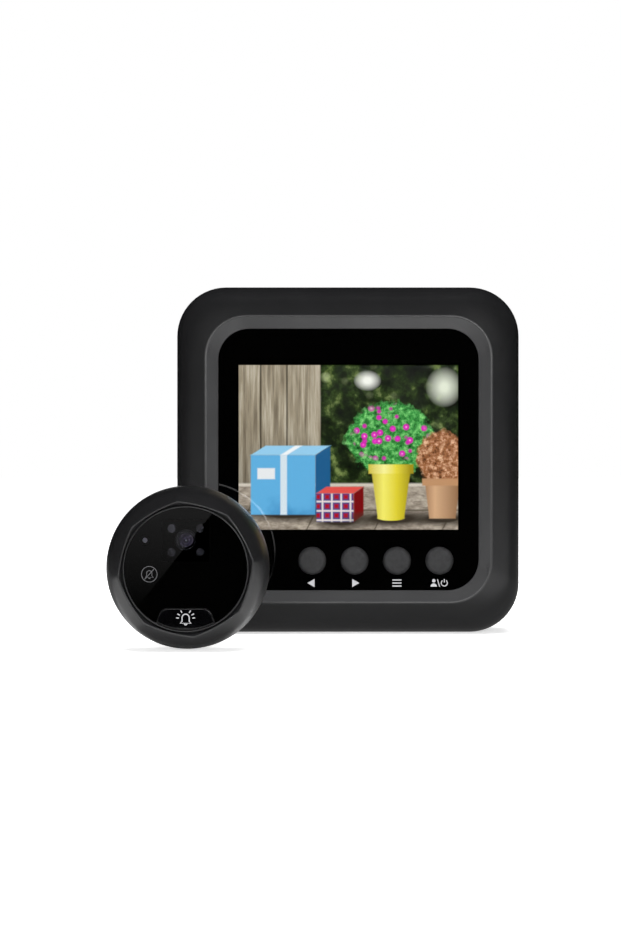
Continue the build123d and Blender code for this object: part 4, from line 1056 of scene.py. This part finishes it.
solid_mark("back_arrow_mark", (3, 1.25), key_x[0], marks_z, -math.pi / 2)
solid_mark("forward_arrow_mark", (3, 1.25), key_x[1], marks_z, math.pi / 2)
bars = [[(-1.2, level), (1.2, level)] for level in (0.8, 0.0, -0.8)]
printed("menu_mark", bars, key_x[2], WINDOW_Y, marks_z, "monitor", MARK_INK)
ring = arc(1.3, 0.0, 0.8, 125, 415, 24)
lines = [[(-0.5, 1.0), (0.1, -1.0)], ring, [(1.3, 0.15), (1.3, 1.0)]]
printed(
    "view_and_power_mark", lines, key_x[3], WINDOW_Y, marks_z,
    "monitor", MARK_INK, NARROW_INK_WIDTH,
)
viewer_x = key_x[3] - 1.45 * MM
solid_mark("viewer_head_mark", (24, 0.45), viewer_x, marks_z + 0.6 * MM)
solid_mark("viewer_shoulders_mark", (24, 0.85), viewer_x, marks_z - 0.95 * MM, cut=True)
print("marks printed at z =", round(marks_z / MM, 2), "mm")

# %% [markdown]
# The picture was taken straight on, a little below the middle of the monitor, with a lens of about
# 74 mm on a 36 mm sensor from half a metre. The camera's height and side place are what make the
# two pieces overlap as they do.

# %% Camera
FOCAL_LENGTH = 73.96
SENSOR_WIDTH = 36.0
CAMERA_PLACE = (-9.94 * MM, -523 * MM, -19.57 * MM)
lens = bpy.data.cameras.new("studio_camera")
lens.lens = FOCAL_LENGTH
lens.sensor_width = SENSOR_WIDTH
lens.clip_start = 0.01
lens.clip_end = 20.0
camera = placed("studio_camera", lens)
camera.location = CAMERA_PLACE
camera.rotation_euler = (math.pi / 2, 0, 0)
bpy.context.scene.camera = camera

# %% [markdown]
# The set stands on a white floor in a white room. Black plastic shows what stands round it, so a
# studio puts black flags where the plastic should stay dark and lamps where it should glow. The
# flags are only seen in reflections and through the windows. One behind the camera and one on the
# floor before the set keep the windows black, the side and top ones keep the outer edges dark, and
# a dim grey card under the set gives the lower band its soft glow. Three softboxes stand round the
# camera, so that every face that looks straight at the camera, such as the crest of the frame,
# glows a little, while the windows, which mirror the gap between the lamps, stay black. A large
# lamp overhead fills the shades softly and draws the shadows on the floor. It isn't seen in
# reflections, as a lamp behind a scrim wouldn't be.


# %% Floor
# The floor's own glow by the set and far off, and the distances in metres at which it has them.
FLOOR_GLOW = (0.62, 1.0)
FLOOR_REACH = (0.08, 0.5)
WHITE = linear("#FFFFFF")


def bare_material(name):
    """A material without nodes, and its tree."""
    material = bpy.data.materials.new(name)
    material.use_nodes = True
    material.node_tree.nodes.clear()
    return material, material.node_tree


def white_floor():
    """White for the camera, whiter still far from the set, with the object's shadow kept."""
    material, tree = bare_material("studio_floor_white")
    paint = add(tree, "ShaderNodeBsdfDiffuse", {"Color": linear("#F4F4F4")}).outputs["BSDF"]
    level = remap(tree, distance_of(tree, own_place(tree)), *FLOOR_GLOW, *FLOOR_REACH)
    glow = add(tree, "ShaderNodeEmission", {"Color": WHITE}, {"Strength": level}).outputs["Emission"]
    both = add(tree, "ShaderNodeAddShader", links={0: paint, 1: glow}).outputs["Shader"]
    path = add(tree, "ShaderNodeLightPath").outputs["Is Camera Ray"]
    chosen = add(tree, "ShaderNodeMixShader", links={0: path, 1: paint, 2: both}).outputs["Shader"]
    add(tree, "ShaderNodeOutputMaterial", links={"Surface": chosen})
    return material


def stage_plane(name, width, height, matrix, material):
    """A flat stage piece, from a grid of one face."""
    shape = bmesh.new()
    bmesh.ops.create_grid(shape, x_segments=1, y_segments=1, size=0.5)
    bmesh.ops.scale(shape, vec=(width, height, 1), verts=shape.verts)
    bmesh.ops.transform(shape, matrix=matrix, verts=shape.verts)
    mesh = mesh_from(shape, name)
    piece = placed(name, mesh)
    mesh.materials.append(material)
    piece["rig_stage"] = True
    return piece


stage_plane("studio_floor", 12.0, 12.0, Matrix.Translation((0, 0, FLOOR_Z)), white_floor())


# %% White room
# The room lights the set with less than it shows of itself, as the flags take up the rest.
ROOM_FILL = 0.3
ROOM_SHOWN = 1.0


def white_light(tree, strength):
    """White light of this strength from all round."""
    values = {"Color": WHITE, "Strength": strength}
    return add(tree, "ShaderNodeBackground", values).outputs["Background"]


world = bpy.data.worlds.new("studio_room")
bpy.context.scene.world = world
world.use_nodes = True
room = world.node_tree
room.nodes.clear()
path = add(room, "ShaderNodeLightPath").outputs
seen = reckon(room, "MAXIMUM", path["Is Camera Ray"], path["Is Glossy Ray"])
seen = reckon(room, "MAXIMUM", seen, path["Is Transmission Ray"])
room_light = {0: seen, 1: white_light(room, ROOM_FILL), 2: white_light(room, ROOM_SHOWN)}
shown = add(room, "ShaderNodeMixShader", links=room_light).outputs["Shader"]
add(room, "ShaderNodeOutputWorld", links={"Surface": shown})


# %% Flags
def reflected_only(piece):
    """Leaves a stage piece to be seen in reflections alone."""
    piece.visible_camera = False
    piece.visible_diffuse = False
    piece.visible_shadow = False
    piece.visible_volume_scatter = False


def glowing(name, colour="#000000", strength=0.0):
    """A card that gives off its own even light, or none."""
    material, tree = bare_material(name)
    glow = add(tree, "ShaderNodeEmission", {"Color": linear(colour), "Strength": strength})
    add(tree, "ShaderNodeOutputMaterial", links={"Surface": glow.outputs["Emission"]})
    return material, tree, glow


BLACK = glowing("flag_black")[0]
FACING_Y = Matrix.Rotation(math.pi / 2, 4, "X")
FACING_X = Matrix.Rotation(math.pi / 2, 4, "Y")
LYING = Matrix.Identity(4)
GREY = glowing("card_grey", "#FFFFFF", 0.25)[0]
over_floor = FLOOR_Z + 0.0004
for name, width, height, place, turn, paint in (
    ("camera_flag", 1.5, 1.1, (0, -0.62, 0.15), FACING_Y, BLACK),
    ("floor_flag", 0.40, 0.5, (0, -0.38, over_floor), LYING, BLACK),
    ("back_card", 0.64, 0.345, (0, 0.1275, over_floor), LYING, GREY),
    ("side_flag_left", 1.0, 2.0, (-0.32, 0.38, 0.25), FACING_X, BLACK),
    ("side_flag_right", 1.0, 2.0, (0.32, 0.38, 0.25), FACING_X, BLACK),
    ("top_flag", 1.0, 2.3, (0, 0.50, 0.40), LYING, BLACK),
):
    reflected_only(stage_plane(name, width, height, Matrix.Translation(place) @ turn, paint))


# %% Card mirrored in the outdoor glass
CARD_Y = -0.21


def mirrored(x, z):
    """The place on the card that the camera sees mirrored in the outdoor glass at x and z."""
    eye_x, eye_y, eye_z = camera.location
    behind = 2 * GLASS_Y - eye_y
    share = (CARD_Y - behind) / (GLASS_Y - behind)
    return Vector((eye_x + (x - eye_x) * share, eye_z + (z - eye_z) * share))


near = mirrored(BELL_X + 6.05 * MM, BELL_Z + 12.9 * MM)
far = mirrored(BELL_X - 10.8 * MM, BELL_Z - 8.2 * MM)
along = (near - far).normalized()
across = Vector((-along.y, along.x))
spare_height = 1.1
card_height = (near - far).length * spare_height
card_width = 0.022
card_glow_low = 0.02
card_glow_high = 0.30
centre = (near + far) / 2 + across * card_width / 2
tilt = math.atan2(along.x, along.y)
card_material, card_tree, card_glow = glowing("reflected_card_dim", "#FFFFFF", 1.0)
height = add(card_tree, "ShaderNodeSeparateXYZ", links={"Vector": own_place(card_tree)}).outputs["Z"]
faded = remap(card_tree, height, card_glow_low, card_glow_high, far.y, near.y)
card_tree.links.new(faded, card_glow.inputs["Strength"])
turned = Matrix.Translation((centre.x, CARD_Y, centre.y)) @ Matrix.Rotation(tilt, 4, "Y") @ FACING_Y
reflected_only(stage_plane("glass_card", card_width, card_height, turned, card_material))
print("card behind the camera at x, z =", [round(v / MM) for v in centre], "mm")


# %% Lamps
SET_MIDDLE = Vector((-0.01, -0.02, -0.02))


def softbox(name, place, width, height, power):
    """A rectangular area lamp aimed at the middle of the set."""
    lamp = bpy.data.lights.new(name, "AREA")
    lamp.shape = "RECTANGLE"
    lamp.size = width
    lamp.size_y = height
    lamp.energy = power
    holder = placed(name, lamp)
    holder.location = place
    aim = SET_MIDDLE - Vector(place)
    holder.rotation_euler = aim.to_track_quat("-Z", "Y").to_euler()
    return holder


softbox("top_softbox", (0.03, -0.56, 0.095), 0.32, 0.05, 0.8)
softbox("right_softbox", (0.13, -0.56, 0.0), 0.05, 0.24, 0.5)
softbox("left_softbox", (-0.15, -0.56, 0.0), 0.05, 0.24, 0.26)
overhead = softbox("overhead_softbox", (0.0, -0.10, 0.60), 0.5, 0.3, 5.5)
overhead.visible_glossy = False

# %% [markdown]
# The picture's colours come out as they are written with the Standard view, which adds no film
# curve.

# %% Finish
bpy.context.scene.view_settings.view_transform = "Standard"
low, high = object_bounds()
growth = [abs(new - old) / MM for new, old in zip([*low, *high], [*cad_low, *cad_high])]
print("visual and CAD box differ by", [round(value, 3) for value in growth], "mm")
